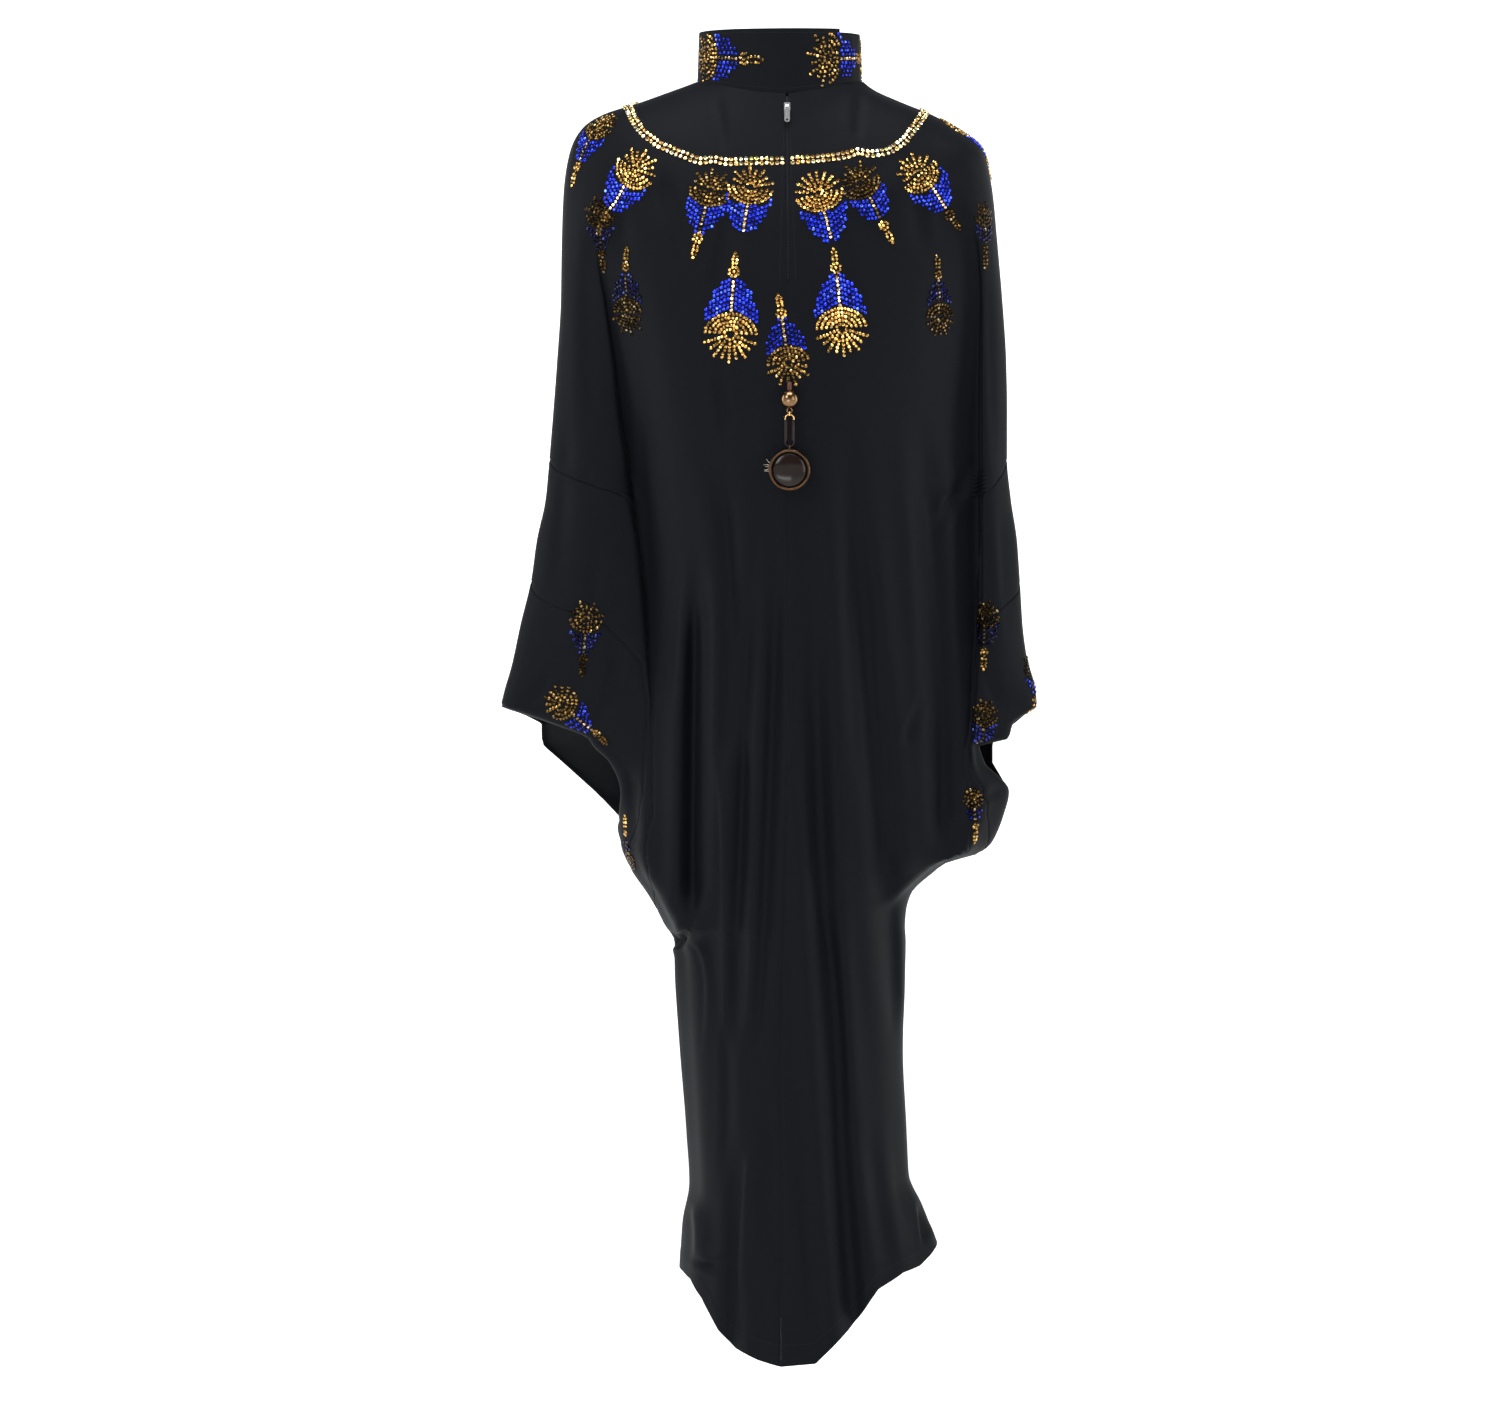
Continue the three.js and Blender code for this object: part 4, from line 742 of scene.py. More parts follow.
def collar_grids(columns=240, rows=20):
    done = np.repeat(np.linspace(0, 1, columns)[None], rows, 0)
    share = np.repeat(np.linspace(0, 1, rows)[:, None], columns, 1)
    outer = collar_points(done.ravel(), share.ravel()).reshape(rows, columns, 3)
    inner = collar_points(done.ravel(), share.ravel(), COLLAR["wall"]).reshape(rows, columns, 3)
    return outer, inner


add_sheet("collar", collar_grids())


# Places on the cloth. A ring place runs 0 to 14 across the front, and on past both edges round the back.
def ring_shape(shape, q, at):
    at = np.clip(at, 0, LAST)
    behind = (q < 0) | (q > 14)
    across = np.clip(np.where(q < 0, -q, np.where(q > 14, 28 - q, q)), 0, 14)
    return np.where(behind[:, None], shape(True, across, at), shape(False, across, at))


def ring_frame(shape, q, at):
    """Place, tangents and outward normal on the ring."""
    p = ring_shape(shape, q, at)
    a = (ring_shape(shape, q + STEP, at) - ring_shape(shape, q - STEP, at)) / (2 * STEP)
    low, high = np.maximum(at - STEP, 0), np.minimum(at + STEP, LAST)
    d = (ring_shape(shape, q, high) - ring_shape(shape, q, low)) / (high - low)[:, None]
    return p, a, d, unit(np.cross(d, a))


GUESS_Q, GUESS_AT = (g.ravel() for g in np.meshgrid(np.linspace(0.2, 13.8, 137), np.linspace(0, 33, 166)))
GUESS = {False: surface(False, GUESS_Q, GUESS_AT), True: surface(True, GUESS_Q, GUESS_AT)}


def seen_at(is_back, x, z):
    """The ring place of the cloth that the camera sees at x, z, or that is there from behind."""
    grid = GUESS[is_back]
    gap = np.hypot(grid[None, :, 0] - x[:, None], grid[None, :, 2] - z[:, None])
    facing = 1 if is_back else -1
    gap = gap - 0.004 * facing * grid[None, :, 1]
    best = np.argmin(gap, 1)
    q, at = GUESS_Q[best].copy(), GUESS_AT[best].copy()
    for _ in range(6):
        p = surface(is_back, q, at)
        a, d = tangents(surface, is_back, q, at)
        nearer = 0 if is_back else p[:, 1] / -EYE[1]
        ex, ez = x + (x - EYE[0]) * nearer - p[:, 0], z + (z - EYE[2]) * nearer - p[:, 2]
        det = a[:, 0] * d[:, 2] - a[:, 2] * d[:, 0]
        det = np.where(np.abs(det) < 20, 20 * np.sign(det) + (det == 0), det)
        q = np.clip(q + np.clip((ex * d[:, 2] - ez * d[:, 0]) / det, -0.2, 0.2), 0.05, 13.95)
        at = np.clip(at + np.clip((a[:, 0] * ez - a[:, 2] * ex) / det, -0.2, 0.2), 0, 35)
    return np.where(is_back, np.where(q < 7, -q, 28 - q), q), at


def walk(q, at, heading, length, steps=14):
    """Follows the cloth straight ahead from a place, in a 3-D heading, for a length each."""
    for _ in range(steps):
        _, a, d, n = ring_frame(surface, q, at)
        heading = unit(heading - (heading * n).sum(1, keepdims=True) * n)
        aa, ad, dd = (a * a).sum(1), (a * d).sum(1), (d * d).sum(1)
        ah, dh = (a * heading).sum(1), (d * heading).sum(1)
        det = aa * dd - ad * ad + 1e-6
        step = length / steps
        q = q + np.clip(step * (ah * dd - dh * ad) / det, -0.4, 0.4)
        at = np.clip(at + np.clip(step * (dh * aa - ah * ad) / det, -0.4, 0.4), 0, LAST)
    return q, at


# Stones
STONE = 1.85  # radius
TILT = 0.13  # how unevenly the stones lie
STRAY = 0.16  # how far off its row a stone is set
YOKE = {"stone": 2.4, "step": 5.3, "half_gap": 2.7}
sides = np.arange(8) * math.pi / 4
DOME = np.array(
    [(math.cos(t), math.sin(t), 0.0) for t in sides]
    + [(0.93 * math.cos(t), 0.93 * math.sin(t), 0.28) for t in sides]
    + [(0.52 * math.cos(t), 0.52 * math.sin(t), 0.62) for t in sides]
)
DOME_FACES = [[i, (i + 1) % 8, 8 + (i + 1) % 8, 8 + i] for i in range(8)]
DOME_FACES += [[8 + i, 8 + (i + 1) % 8, 16 + (i + 1) % 8, 16 + i] for i in range(8)]
DOME_FACES += [[16 + i for i in range(8)], [7 - i for i in range(8)]]


def copies(template, faces, places, x, y, z, size):
    """Copies of a small mesh, each at its place on its three axes."""
    v = template[None] * np.reshape(size, (-1, 1, 1))
    x, y, z = x[:, None], y[:, None], z[:, None]
    points = places[:, None] + v[..., :1] * x + v[..., 1:2] * y + v[..., 2:] * z
    count = len(template)
    all_faces = [[i * count + k for k in f] for i in range(len(places)) for f in faces]
    return points.reshape(-1, 3) * MM, all_faces


class Stones:
    def __init__(self):
        self.place, self.normal, self.size, self.tone = [], [], [], []

    def add(self, place, normal, size, tone):
        self.place.append(place)
        self.normal.append(normal)
        self.size.append(np.broadcast_to(size, len(place)))
        self.tone.append(np.broadcast_to(tone, (len(place), 3)))

    def build(self, name, made, slot_name):
        place, normal = np.concatenate(self.place), np.concatenate(self.normal)
        size, tone = np.concatenate(self.size), np.concatenate(self.tone)
        normal = unit(normal + rng.normal(0, TILT, normal.shape))
        x = unit(np.cross(normal, rng.normal(size=normal.shape)))
        points, faces = copies(DOME, DOME_FACES, place, x, np.cross(normal, x), normal, size)
        # Each stone's colour is scaled by a random brightness, and about one stone in fourteen gets a
        # brighter glint in its own hue: painted sparkle and painted highlights.
        light = np.exp(rng.normal(-0.1, 0.5, (len(place), 1)))
        painted_glint = (rng.random((len(place), 1)) < 0.07) * np.sqrt(tone) * 0.5
        tint = np.repeat(np.clip(tone * light + painted_glint, 0, 1), len(DOME), 0)
        return wear(make_mesh(name, points, faces, made, tint=tint))


YOKE_PALE, YOKE_GOLD = (0.95, 0.72, 0.42), (0.85, 0.52, 0.19)
GOLD, PALE, BLUE = (0.5, 0.29, 0.075), (0.85, 0.6, 0.36), (0.012, 0.03, 0.6)
gold_stones, blue_stones = Stones(), Stones()

PITCH = 3.75  # from one stone to the next in a row
ARCH_STEP = 5.1
QUILL_PITCH = 4.2
BARBS = {"step": 4.9, "slant": 0.42, "bend": 0.004}
FAN = {"radius": 27, "arch": 0.78, "shift": 0.14, "open": 0.32}
BLUE_OUTLINE = named(
    "v half", [(-2, 0), (3, 27), (14, 29), (28, 27), (40, 23), (50, 18), (58, 12), (64, 5.5), (66, 4)]
)


def feather(scale=1.0, tail=True):
    """One peacock feather flat: stones as (u, v, kind), v from the fan's middle towards the tip."""
    fan, stones = FAN["radius"] * scale, []
    low = FAN["shift"] * fan
    turn = np.linspace(0, math.pi, 60)
    for radius in fan - ARCH_STEP * np.arange(max(3, round(fan / ARCH_STEP))):
        arch = np.stack([radius * np.cos(turn), FAN["arch"] * radius * np.sin(turn) + low], -1)
        gone = run_length(arch)
        count = max(2, round(gone[-1] / PITCH))
        where = (np.arange(count) + 0.5) / count * gone[-1]
        across, up = (np.interp(where, gone, arch[:, k]) for k in (0, 1))
        stones += [(u, v, "gold") for u, v in zip(across, up)]
    rays = max(5, round(9 * scale**0.5))
    for ray in range(rays):
        a = math.pi + FAN["open"] + (math.pi - 2 * FAN["open"]) * ray / (rays - 1)
        first, reach = (0.5, 0.98) if ray % 2 else (0.2, 1.14)
        for r in np.arange(first * fan, reach * fan, PITCH):
            stones.append((r * math.cos(a), r * math.sin(a) + low, "gold"))
    top = fan + 34 * scale
    for v in np.arange(FAN["arch"] * fan + low + PITCH, top + 1, QUILL_PITCH):
        stones.append((0.0, v, "pale"))
    for d in np.arange(0.3 * fan, top + 3, BARBS["step"]):
        for x in np.arange(4.1, 30, PITCH):
            v = d - BARBS["slant"] * x - BARBS["bend"] * x * x
            half = np.interp(v / scale, BLUE_OUTLINE["v"], BLUE_OUTLINE["half"]) * scale
            if x < half and math.hypot(x, max(0, v - low) / FAN["arch"]) > fan + PITCH:
                stones += [(x, v, "blue"), (-x, v, "blue")]
    if tail:
        ring = 5.0 * min(1, scale + 0.08)
        middle = top + ring + 3.2
        count = round(2 * math.pi * ring / 3.9)
        for i in range(count):
            a = 2 * math.pi * i / count + 0.39
            stones.append((ring * math.cos(a), middle + ring * math.sin(a), "tip"))
        stones.append((0, middle, "tip"))
        for v, half in ((4.2, 1.9), (8.0, 2.3), (11.8, 1.9)):
            stones += [(half, middle + ring + v, "tip"), (-half, middle + ring + v, "tip")]
        stones.append((0, middle + ring + 15.4, "tip"))
    return stones


def set_stones(flat, put, fan, barbs, tip):
    """Sets the stones of a flat pattern with put(u, v), which gives places and normals. fan, barbs and
    tip scale the colours of those stones: painted shade below 1, painted light above 1.
    """
    u, v = np.array([s[0] for s in flat]), np.array([s[1] for s in flat])
    kind = np.array([s[2] for s in flat])
    place, normal, keep = put(u + rng.normal(0, STRAY, len(u)), v + rng.normal(0, STRAY, len(u)))
    looks = [("gold", gold_stones, GOLD, fan), ("pale", gold_stones, PALE, fan)]
    looks += [("blue", blue_stones, BLUE, barbs), ("tip", gold_stones, GOLD, tip)]
    for name, store, tone, share in looks:
        chosen = (kind == name) & keep
        store.add(place[chosen], normal[chosen], STONE, np.array(tone) * share)


HAND_GAP = {"top": -640, "end": -760}  # the heights of the hand slits, kept free of stones


def on_cloth(is_back, x, z, dx, dz):
    """A put() whose v axis starts at x, z and heads along dx, dz as seen from ahead."""
    q, at = seen_at(is_back, np.array([float(x)]), np.array([float(z)]))

    def put(u, v):
        n = len(u)
        q0, at0 = np.full(n, q[0]), np.full(n, at[0])
        _, _, _, normal = ring_frame(surface, q[:1], at[:1])
        ahead = np.array([[dx, 0.0, dz]], float)
        ahead = unit(ahead - (ahead * normal).sum(1, keepdims=True) * normal)
        beside = np.cross(ahead, normal)
        heading = unit(u[:, None] * beside + v[:, None] * ahead + 1e-9)
        q1, at1 = walk(q0, at0, heading, np.hypot(u, v))
        p, _, _, n1 = ring_frame(cloth, q1, at1)
        across = np.abs(np.where(q1 < 0, -q1, np.where(q1 > 14, 28 - q1, q1)))
        z_side = level["side"](at1)
        near_edge = np.minimum(across, 14 - across) < 0.25
        in_slit = (z_side < HAND_GAP["top"]) & (z_side > HAND_GAP["end"])
        keep = ~(near_edge & in_slit) & (at1 < LAST - 0.3) & (at1 > 0.05)
        return p + n1 * 0.1, n1, keep

    return put


PIXEL, PHOTO_ORIGIN = 1.04, (780, 88)


def px(x, y):
    """A place in the photo's pixels as millimetres."""
    return (x - PHOTO_ORIGIN[0]) * PIXEL, (PHOTO_ORIGIN[1] - y) * PIXEL


# Feathers, in the picture's pixels: the fan's middle, a place towards the tip, the size, and how
# bright the fan, the blue and the tip are painted: below 1 is painted shade, above 1 painted light.
# No brightness means that the tip is left out.
FEATHER = "x y to_x to_y scale fan barbs tip"
FRONT_FEATHERS = named(
    FEATHER,
    [
        (602, 124, 566, 196, 0.72, 0.2, 0.6, 0.9), (637, 167, 600, 216, 0.86, 1, 1, 0.3),
        (711, 187, 698, 245, 0.78, 0.26, 1, 1), (751, 184, 743, 240, 0.84, 0.9, 1.1, 0),
        (818, 190, 832, 244, 0.88, 1.15, 1.1, 0), (859, 180, 887, 231, 0.76, 0.18, 0.8, 0.7),
        (917, 171, 958, 214, 0.86, 0.75, 0.9, 0.15), (957, 124, 992, 186, 0.7, 0.6, 0.7, 0.6),
        (629, 316, 637, 247, 0.74, 0.06, 0.04, 0.3), (730, 338, 733, 270, 1, 0.95, 1.1, 1.1),
        (789, 366, 780, 304, 0.78, 0.4, 0.5, 1.1), (842, 332, 837, 264, 0.97, 0.95, 1.1, 0.8),
        (940, 320, 933, 259, 0.66, 0.07, 0.05, 0.22), (600, 212, 598, 290, 0.6, 0.05, 0.04, 0.08),
        (984, 214, 984, 280, 0.5, 0.05, 0.04, 0.08), (586, 617, 581, 684, 0.6, 0.1, 0.07, 0.05),
        (560, 702, 600, 740, 0.66, 0.22, 0.25, 0.15), (631, 862, 637, 820, 0.4, 0.05, 0.04, 0.9),
        (984, 613, 984, 668, 0.56, 0.03, 0.02, 0.25), (985, 712, 980, 760, 0.56, 0.06, 0.1, 0),
        (1028, 668, 1018, 704, 0.46, 0.02, 0.2, 0.25), (973, 797, 978, 845, 0.4, 0.1, 0.14, 0.4),
    ],
)
BACK_FEATHERS = named(
    FEATHER,
    [
        (637, 160, 606, 214, 0.86, 1, 1, 1), (704, 184, 694, 244, 0.88, 1, 1, 1),
        (772, 190, 770, 250, 0.9, 1, 1, 1), (838, 186, 850, 246, 0.88, 1, 1, 1),
        (902, 166, 934, 218, 0.86, 1, 1, 1), (632, 318, 638, 250, 0.76, 0.8, 0.8, 0.8),
        (702, 340, 702, 272, 0.96, 1, 1, 1), (772, 366, 770, 300, 0.96, 1, 1, 1),
        (840, 342, 840, 272, 0.96, 1, 1, 1), (908, 322, 902, 254, 0.76, 0.8, 0.8, 0.8),
        (586, 617, 581, 684, 0.6, 0.6, 0.7, 0.6), (560, 702, 600, 740, 0.64, 0.6, 0.7, 0.6),
        (990, 615, 990, 670, 0.58, 0.6, 0.7, 0.6), (1000, 706, 976, 756, 0.58, 0.6, 0.7, 0.6),
    ],
)
for is_back, rows in ((False, FRONT_FEATHERS), (True, BACK_FEATHERS)):
    for x, y, to_x, to_y, scale, fan, barbs, tip in zip(*rows.values()):
        put = on_cloth(is_back, *px(x, y), to_x - x, y - to_y)
        set_stones(feather(scale, tip > 0), put, fan, barbs, tip)


def on_collar(done, share, way, under):
    """A put() on the collar whose v axis runs round it, up to where the strip goes under its start."""
    turn = np.linspace(0, 1, 2000)
    gone = run_length(collar_points(turn, np.full(2000, share)))
    start = np.interp(done, turn, gone)

    def put(u, v):
        round_it = np.interp(start + way * v, gone, turn)
        up = np.clip(share + u / COLLAR["height"], 0.03, 0.97)
        p = collar_points(round_it, up)
        ahead, behind = (np.clip(round_it + step, 0, 1) for step in (0.002, -0.002))
        above, below = (np.clip(up + step, 0, 1) for step in (0.02, -0.02))
        a = collar_points(ahead, up) - collar_points(behind, up)
        d = collar_points(round_it, above) - collar_points(round_it, below)
        n = unit(np.cross(a, d))
        n = np.where((n[:, :2] * p[:, :2]).sum(1, keepdims=True) < 0, -n, n)
        off_middle = np.abs(share + u / COLLAR["height"] - 0.5)
        keep = (start + way * v > 2) & (round_it < under) & (off_middle < 0.46)
        return p + n * 0.1, n, keep

    return put


for done in (0.0325, 0.2775, 0.5225, 0.7675, 0.9325):
    set_stones(feather(0.74), on_collar(done, 0.5, -1, 0.893), 0.35, 0.65, 0.35)

# Double row along the yoke, front and back.
YOKE_FRONT = [
    (620, 92), (629, 108), (634, 120), (643, 133), (658, 144), (679, 153), (700, 161), (712, 159),
    (727, 162), (748, 161), (781, 161), (809, 159), (831, 157), (846, 155), (858, 151), (871, 154),
    (889, 151), (904, 141), (917, 124), (930, 104),
]
YOKE_BACK = [
    (620, 92), (628, 110), (640, 132), (664, 150), (700, 162), (740, 168), (781, 169), (822, 167),
    (860, 160), (896, 148), (916, 126), (930, 104),
]


def follow(is_back, pixels, spacing):
    """Ring places at even spacing along a line in the picture."""
    line = np.array([px(*p) for p in pixels])
    gone = run_length(line)
    fine = np.linspace(0, gone[-1], 700)
    x, z = np.interp(fine, gone, line[:, 0]), np.interp(fine, gone, line[:, 1])
    kernel = np.hanning(15) / np.hanning(15).sum()
    x, z = (np.convolve(np.pad(v, 7, "edge"), kernel, "valid") for v in (x, z))
    q, at = seen_at(is_back, x, z)
    p = ring_shape(cloth, q, at)
    length = run_length(p)
    where = np.arange(spacing / 2, length[-1], spacing)
    return np.interp(where, length, q), np.interp(where, length, at)


for is_back, pixels in ((False, YOKE_FRONT), (True, YOKE_BACK)):
    q, at = follow(is_back, pixels, YOKE["step"])
    p, a, d, n = ring_frame(cloth, q, at)
    along = unit(np.gradient(p, axis=0))
    beside = unit(np.cross(n, along))
    zip_gap = np.abs(q - 7) > (0.07 if not is_back else -1)
    for shift in (-YOKE["half_gap"], YOKE["half_gap"]):
        tone = np.where(rng.random((len(p), 1)) < 0.45, YOKE_PALE, YOKE_GOLD)
        place = p + shift * beside + 0.1 * n
        gold_stones.add(place[zip_gap], n[zip_gap], YOKE["stone"], tone[zip_gap])

gold_stones.build("stones_gold", gold_stone, "stone_gold")
blue_stones.build("stones_blue", blue_stone, "stone_blue")

# Carried over from the frame, with looks of their own.
for node, made in (("zip_tape", zip_black), ("zip_slider", silver), ("zip_pull", silver)):
    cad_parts[node].data.materials.clear()
    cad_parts[node].data.materials.append(made)


# Zip coil: small teeth that meet in the slit.
def add_teeth():
    at = np.interp(np.arange(1.5, 214, 1.55), [0, 216], [0.55, ZIP_LAST])
    q = np.full_like(at, 7.0)
    p, a, d, n = ring_frame(surface, q, at)
    across, down = unit(a), unit(d)
    box = np.array([(x, y, z) for x in (-1, 1) for y in (-0.45, 0.45) for z in (-0.5, 0.5)])
    faces = [[0, 1, 3, 2], [4, 6, 7, 5], [0, 4, 5, 1], [2, 3, 7, 6], [0, 2, 6, 4], [1, 5, 7, 3]]
    place = p + across * np.where(np.arange(len(at)) % 2, 0.25, -0.25)[:, None] - 0.62 * n
    points, faces = copies(box, faces, place, across, down, n, np.ones(len(at)))
    wear(make_mesh("zip_teeth", points, faces, zip_black))


add_teeth()


# Sewing: one small capsule for each stitch.
def add_stitches(name, lines):
    places, ways, normals = [], [], []
    for p, n in lines:
        along = unit(np.gradient(p, axis=0))
        places.append(p + 0.12 * n)
        ways.append(along)
        normals.append(n)
    place, along, normal = (np.concatenate(v) for v in (places, ways, normals))
    shape = [(-1.05, 0, 0), (-0.8, 0.22, 0.1), (-0.8, -0.22, 0.1), (0.8, 0.22, 0.1), (0.8, -0.22, 0.1)]
    shape = np.array(shape + [(1.05, 0, 0), (0, 0, 0.3), (0, 0, -0.1)])
    faces = [[0, 2, 6], [0, 6, 1], [0, 1, 7], [0, 7, 2], [5, 3, 6], [5, 6, 4], [5, 4, 7], [5, 7, 3]]
    faces += [[1, 6, 3], [1, 3, 7], [2, 4, 6], [2, 7, 4]]
    beside = unit(np.cross(normal, along))
    points, faces = copies(shape, faces, place, along, beside, normal, np.ones(len(place)))
    wear(make_mesh(name, points, faces, thread))


def stitch_row(is_back, q, at, spacing=3.4):
    p = ring_shape(cloth, q, at)
    length = run_length(p)
    where = np.arange(spacing, length[-1] - spacing, spacing)
    q1, at1 = np.interp(where, length, q), np.interp(where, length, at)
    p, _, _, n = ring_frame(cloth, q1, at1)
    return p + 0.25 * n, n


hem_at = np.full(500, LAST - 0.26)
around = np.linspace(0.4, 13.6, 500)
zip_at = np.linspace(0.2, ZIP_LAST + 0.1, 200)
rows = [stitch_row(False, around, hem_at), stitch_row(True, -around[around < 7], hem_at[around < 7])]
rows.append(stitch_row(True, 28 - around[around > 7], hem_at[around > 7]))
for offset in (-0.12, 0.12):
    rows.append(stitch_row(False, np.full(200, 7 + offset), zip_at, 2.8))
for share in (0.07, 0.93):
    done = np.linspace(0.004, 0.996, 190)
    p = collar_points(done, np.full_like(done, share))
    n = unit(p * (1, 1, 0))
    rows.append((p + 0.1 * n, n))
add_stitches("stitches", rows)


# Pendant
bead_x, bead_y, bead_z = 9.4, -142.82, -327.6
PENDANT = {"bead": 9.3, "eye": 2.5, "wire": 0.7, "link_width": 10.4, "link_length": 33}
MEDAL = {"radius": 21.6, "dome": 4.6, "rim": 2.9}
OVER = 2 * PENDANT["wire"] + 0.3
eye_z = bead_z - PENDANT["bead"] - PENDANT["eye"] + 0.6
ring_z = eye_z - 2 * PENDANT["eye"] + OVER
link_top = ring_z - PENDANT["eye"] + OVER
link_bottom = link_top - PENDANT["link_length"]
medal_eye = link_bottom - PENDANT["eye"] + OVER
medal_z = medal_eye - PENDANT["eye"] - MEDAL["radius"] + 0.6


def revolve(profile, count, axis="y"):
    """A closed surface of revolution from (radius, height) pairs, about the axis."""
    turn = np.linspace(0, 2 * math.pi, count, endpoint=False)
    r, h = np.array(profile, float).T
    a, b = np.outer(np.cos(turn), r), np.outer(np.sin(turn), r)
    along = np.repeat(h[None], count, 0)
    parts = (a, along, b) if axis == "y" else (a, b, along)
    points = np.stack(parts, -1).reshape(-1, 3)
    n = len(profile)
    faces = [
        [i * n + j, ((i + 1) % count) * n + j, ((i + 1) % count) * n + j + 1, i * n + j + 1]
        for i in range(count)
        for j in range(n - 1)
    ]
    return points, faces


def band_faces(bands, count, rings):
    """Faces of the bands between closed rings of count points, the last ring joined to the first."""
    faces = []
    for i in range(bands):
        here, there = i * count, (i + 1) % rings * count
        for j in range(count):
            after = (j + 1) % count
            faces.append([here + j, there + j, there + after, here + after])
    return faces


def tube(path, radius, count=12, closed=True, narrow=1.0):
    """A tube along a path in the XZ or YZ plane, whose radius can differ along it."""
    path = np.array(path, float)
    radius = np.broadcast_to(radius, len(path))[:, None, None]
    ahead = np.roll(path, -1, 0) - np.roll(path, 1, 0)
    if not closed:
        ahead[0], ahead[-1] = path[1] - path[0], path[-1] - path[-2]
    ahead = unit(ahead)
    flat = np.array([0.0, 1.0, 0.0]) if np.ptp(path[:, 1]) < 1e-6 else np.array([1.0, 0.0, 0.0])
    side = unit(np.cross(ahead, flat))
    turn = np.linspace(0, 2 * math.pi, count, endpoint=False)
    wide, high = narrow * np.cos(turn)[None, :, None], np.sin(turn)[None, :, None]
    points = path[:, None] + radius * (wide * side[:, None] + high * flat)
    n = len(path)
    last = n if closed else n - 1
    faces = band_faces(last, count, n)
    if not closed:
        faces += [list(range(count))[::-1], [(n - 1) * count + j for j in range(count)]]
    return points.reshape(-1, 3), faces


def circle(radius, z, plane="xz", count=40):
    t = np.linspace(0, 2 * math.pi, count, endpoint=False)
    c, s, o = radius * np.cos(t), radius * np.sin(t), 0 * t
    return np.stack([c, o, s + z] if plane == "xz" else [o, c, s + z], -1)


def merge(parts):
    points, faces, base = [], [], 0
    for p, f in parts:
        points.append(p)
        faces += [[base + k for k in face] for face in f]
        base += len(p)
    return np.concatenate(points), faces


def solid(name, parts, made, body, nodes=(), angle=40):
    points, faces = merge(parts)
    points = (points + (bead_x, bead_y, 0)) * MM
    piece = make_mesh(name, points, faces, made, smooth_angle=angle)
    mesh = piece.data
    edit = bmesh.new()
    edit.from_mesh(mesh)
    bmesh.ops.recalc_face_normals(edit, faces=edit.faces)
    edit.to_mesh(mesh)
    edit.free()
    wear(piece, body)
    if nodes:
        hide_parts(*nodes)


t = np.linspace(-math.pi / 2, math.pi / 2, 25)
ball = [(max(0.01, PENDANT["bead"] * math.cos(a)), PENDANT["bead"] * math.sin(a)) for a in t]
points, faces = revolve(ball, 40, "z")
bead_parts = [(points + (0, 0, bead_z), faces), tube(circle(PENDANT["eye"], eye_z), PENDANT["wire"])]
solid("bead", bead_parts, antique, "garment", ["pendant_bead"])
ring = [tube(circle(PENDANT["eye"], ring_z, "yz"), PENDANT["wire"])]
solid("ring", ring, gold, "pendant_ring", ["pendant_ring"])

# The small tube above the bead, and the thread that ties it to the cloth.
TUBE = {"radius": 2.2, "hole": 0.9, "length": 8.6, "behind": 2.3}
tube_top = bead_z + PENDANT["bead"] + TUBE["length"]
profile = [(TUBE["hole"], 0), (1.7, 0), (TUBE["radius"], -0.6), (TUBE["radius"], 0.4 - TUBE["length"])]
profile += [(1.7, -TUBE["length"]), (TUBE["hole"], -TUBE["length"]), (TUBE["hole"], 0)]
points, faces = revolve(profile, 20, "z")
solid("tube", [(points + (0, TUBE["behind"], tube_top), faces)], brown_tube, "garment")
knot = [(0, 0, -3), (0, 0, 0), (0, 1.2, 2.2), (0, 4, 3.2), (0, 7.5, 3)]
knot = np.array(knot, float) + (0, TUBE["behind"], tube_top)
solid("tube_thread", [tube(knot, 0.5, 8, closed=False)], thread, "garment")

bend = PENDANT["link_width"] / 2 - PENDANT["wire"]
straight = PENDANT["link_length"] / 2 - bend
link_middle = (link_top + link_bottom) / 2
LINK_BAR = 1.7  # radius of the link's straight sides, wrapped with cord
half_turn = np.linspace(0, math.pi, 16)
arch = [(bend * math.cos(a), straight + bend * math.sin(a), PENDANT["wire"]) for a in half_turn]
bar_z = np.linspace(straight, -straight, 26)[1:-1]
bar_r = PENDANT["wire"] + (LINK_BAR - PENDANT["wire"]) * smooth(0, 4, straight - np.abs(bar_z))
bar = [(-bend - PENDANT["wire"] + r, z, r) for z, r in zip(bar_z, bar_r)]


def link_part(rows, closed, made, name, nodes=()):
    rows = np.array(rows)
    path = np.stack([rows[:, 0], 0 * rows[:, 0], rows[:, 1] + link_middle], -1)
    solid(name, [tube(path, rows[:, 2], closed=closed)], made, "pendant_drop", nodes)


other_bar = [(-x, -z, r) for x, z, r in bar]
other_arch = [(-x, -z, r) for x, z, r in arch]
link_part(bar + other_arch + other_bar, False, cord, "link", ["pendant_link"])
link_part([other_bar[-1], *arch, bar[0]], False, gold, "link_cap")

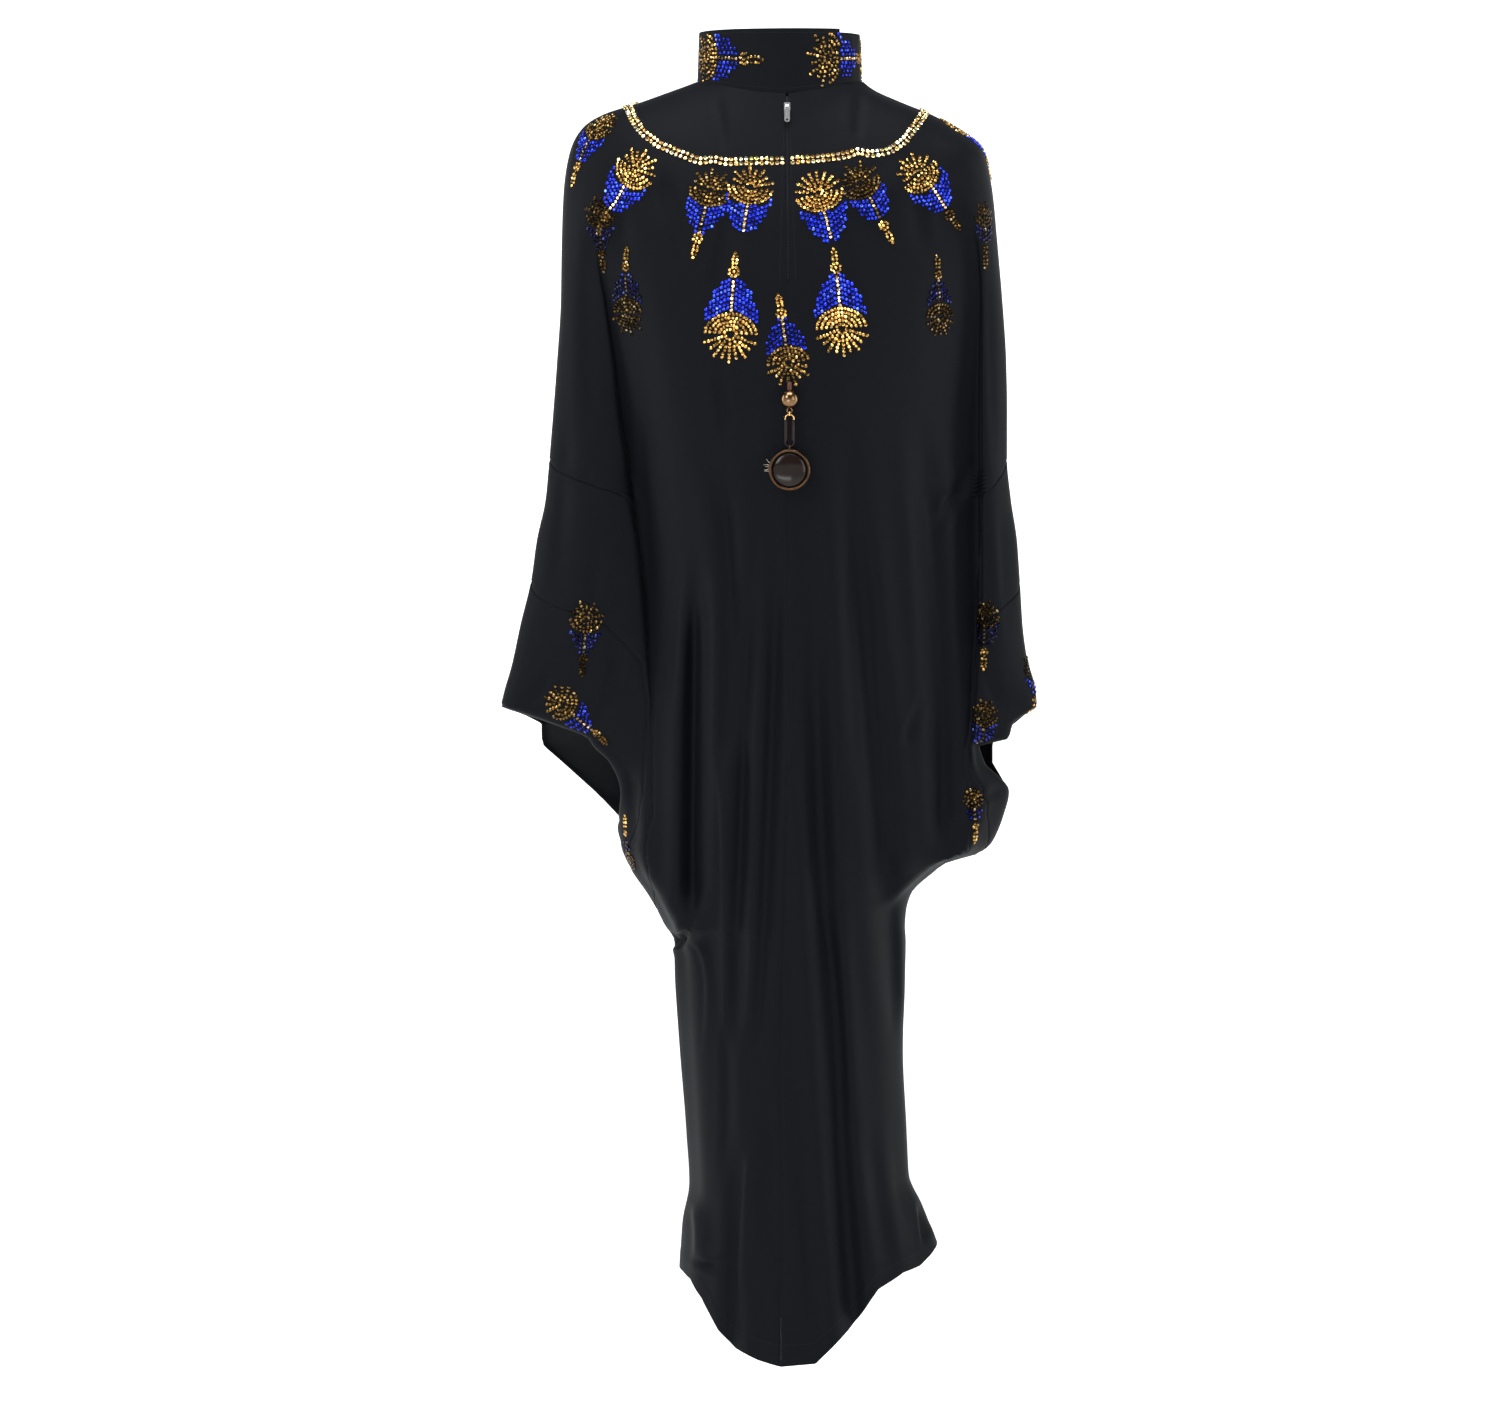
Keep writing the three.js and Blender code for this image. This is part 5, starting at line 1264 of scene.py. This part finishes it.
# Medallion: a domed dark stone in a thin rim, with a few loose hairs at its side.
HOOP = {"inner": 18.0, "half_depth": 2.9}
stone_r = HOOP["inner"] - 0.3
quarter = np.linspace(0, math.pi / 2, 12)
profile = [(max(0.01, stone_r * math.sin(a)), -MEDAL["dome"] * math.cos(a)) for a in quarter]
profile += [(stone_r, MEDAL["rim"] / 2), (0.01, MEDAL["rim"] / 2)]
points, faces = revolve(profile, 48, "y")
dome = [(points + (0, 0, medal_z), faces)]
solid("medallion_dome", dome, glossy_dark, "pendant_drop", ["medallion_stone"])
middle = (MEDAL["radius"] + HOOP["inner"]) / 2
narrow = (MEDAL["radius"] - HOOP["inner"]) / 2 / HOOP["half_depth"]
hoop = tube(circle(middle, medal_z, count=64), HOOP["half_depth"], 16, narrow=narrow)
medal_ring = tube(circle(PENDANT["eye"], medal_eye, "yz"), PENDANT["wire"])
solid("medallion_hoop", [hoop, medal_ring], bronze, "pendant_drop", ["medallion_rim"])
hairs = []
for turn in np.radians([160, 166, 171, 177, 184]):
    reach = MEDAL["radius"] + rng.uniform(3, 8)
    run = np.linspace(0, 1, 6)
    out = MEDAL["radius"] - 1 + (reach - MEDAL["radius"] + 1) * run
    angle = turn + rng.uniform(-0.12, 0.12) * run**2
    path = np.stack([out * np.cos(angle), 0 * run, medal_z + out * np.sin(angle)], -1)
    hairs.append(tube(path, 0.24 - 0.16 * run, 6, closed=False))
solid("rim_hairs", hairs, hair, "pendant_drop")

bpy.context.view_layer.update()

# Studio
scene = bpy.context.scene
camera_data = bpy.data.cameras.new("camera")
camera = bpy.data.objects.new("camera", camera_data)
scene.collection.objects.link(camera)
scene.camera = camera
camera.location = np.array(EYE) * MM
camera.rotation_euler = (math.pi / 2, 0, 0)
camera_data.sensor_width = 36
camera_data.lens = 36 * -EYE[1] * MM / VIEW_WIDTH

# A round floor that curves up into a low wall well behind the camera from every side
FLOOR = [(0.01, -1.42), (5.0, -1.42), (12.8, -1.42), (13.6, -1.3), (14.1, -0.95)]
FLOOR += [(14.3, -0.4), (14.4, 2.6)]
FLOOR_SIDES = 64
turn = 2 * math.pi * np.arange(FLOOR_SIDES) / FLOOR_SIDES
points = np.array([(r * x, r * y, z) for r, z in FLOOR for x, y in zip(np.cos(turn), np.sin(turn))])
faces = [face[::-1] for face in band_faces(len(FLOOR) - 1, FLOOR_SIDES, len(FLOOR))]
faces.append(list(range(FLOOR_SIDES)))
glow = {"Emission_Color": (1, 1, 1, 1), "Emission_Strength": 0.8}
pale_floor = material("pale_floor", (0.86, 0.86, 0.86), 0.9, **glow)[0]
floor = make_mesh("floor", points, faces, pale_floor, smooth_angle=80)

world = bpy.data.worlds.new("studio")
world.use_nodes = True
sky = world.node_tree.nodes["Background"]
sky.inputs["Color"].default_value = (1, 1, 1, 1)
sky.inputs["Strength"].default_value = 0.24
scene.world = world


def softbox(name, place, target, width, height, watts):
    light = bpy.data.lights.new(name, "AREA")
    light.shape, light.size, light.size_y, light.energy = "RECTANGLE", width, height, watts
    lamp = bpy.data.objects.new(name, light)
    scene.collection.objects.link(lamp)
    lamp.location = place
    away = np.array(place) - np.array(target)
    yaw = math.atan2(away[0], -away[1])
    lamp.rotation_euler = (math.atan2(math.hypot(away[0], away[1]), away[2]), 0, yaw)


softbox("key", (-2.0, -2.4, 1.8), (0, 0, -0.5), 1.4, 2.0, 92)
softbox("fill", (2.6, -2.2, 0.4), (0, 0, -0.6), 1.4, 2.4, 46)
softbox("top", (0, -0.5, 1.9), (0, 0, 0), 1.8, 1.2, 90)
softbox("low", (-0.8, -2.8, -1.3), (-0.05, 0, -1.1), 2.0, 0.5, 30)
softbox("rim_left", (-2.8, 0.3, 0.1), (0, 0, -0.7), 0.8, 2.4, 40)
softbox("rim_right", (2.8, 0.3, 0.1), (0, 0, -0.7), 0.8, 2.4, 40)
scene.view_settings.view_transform = "Standard"
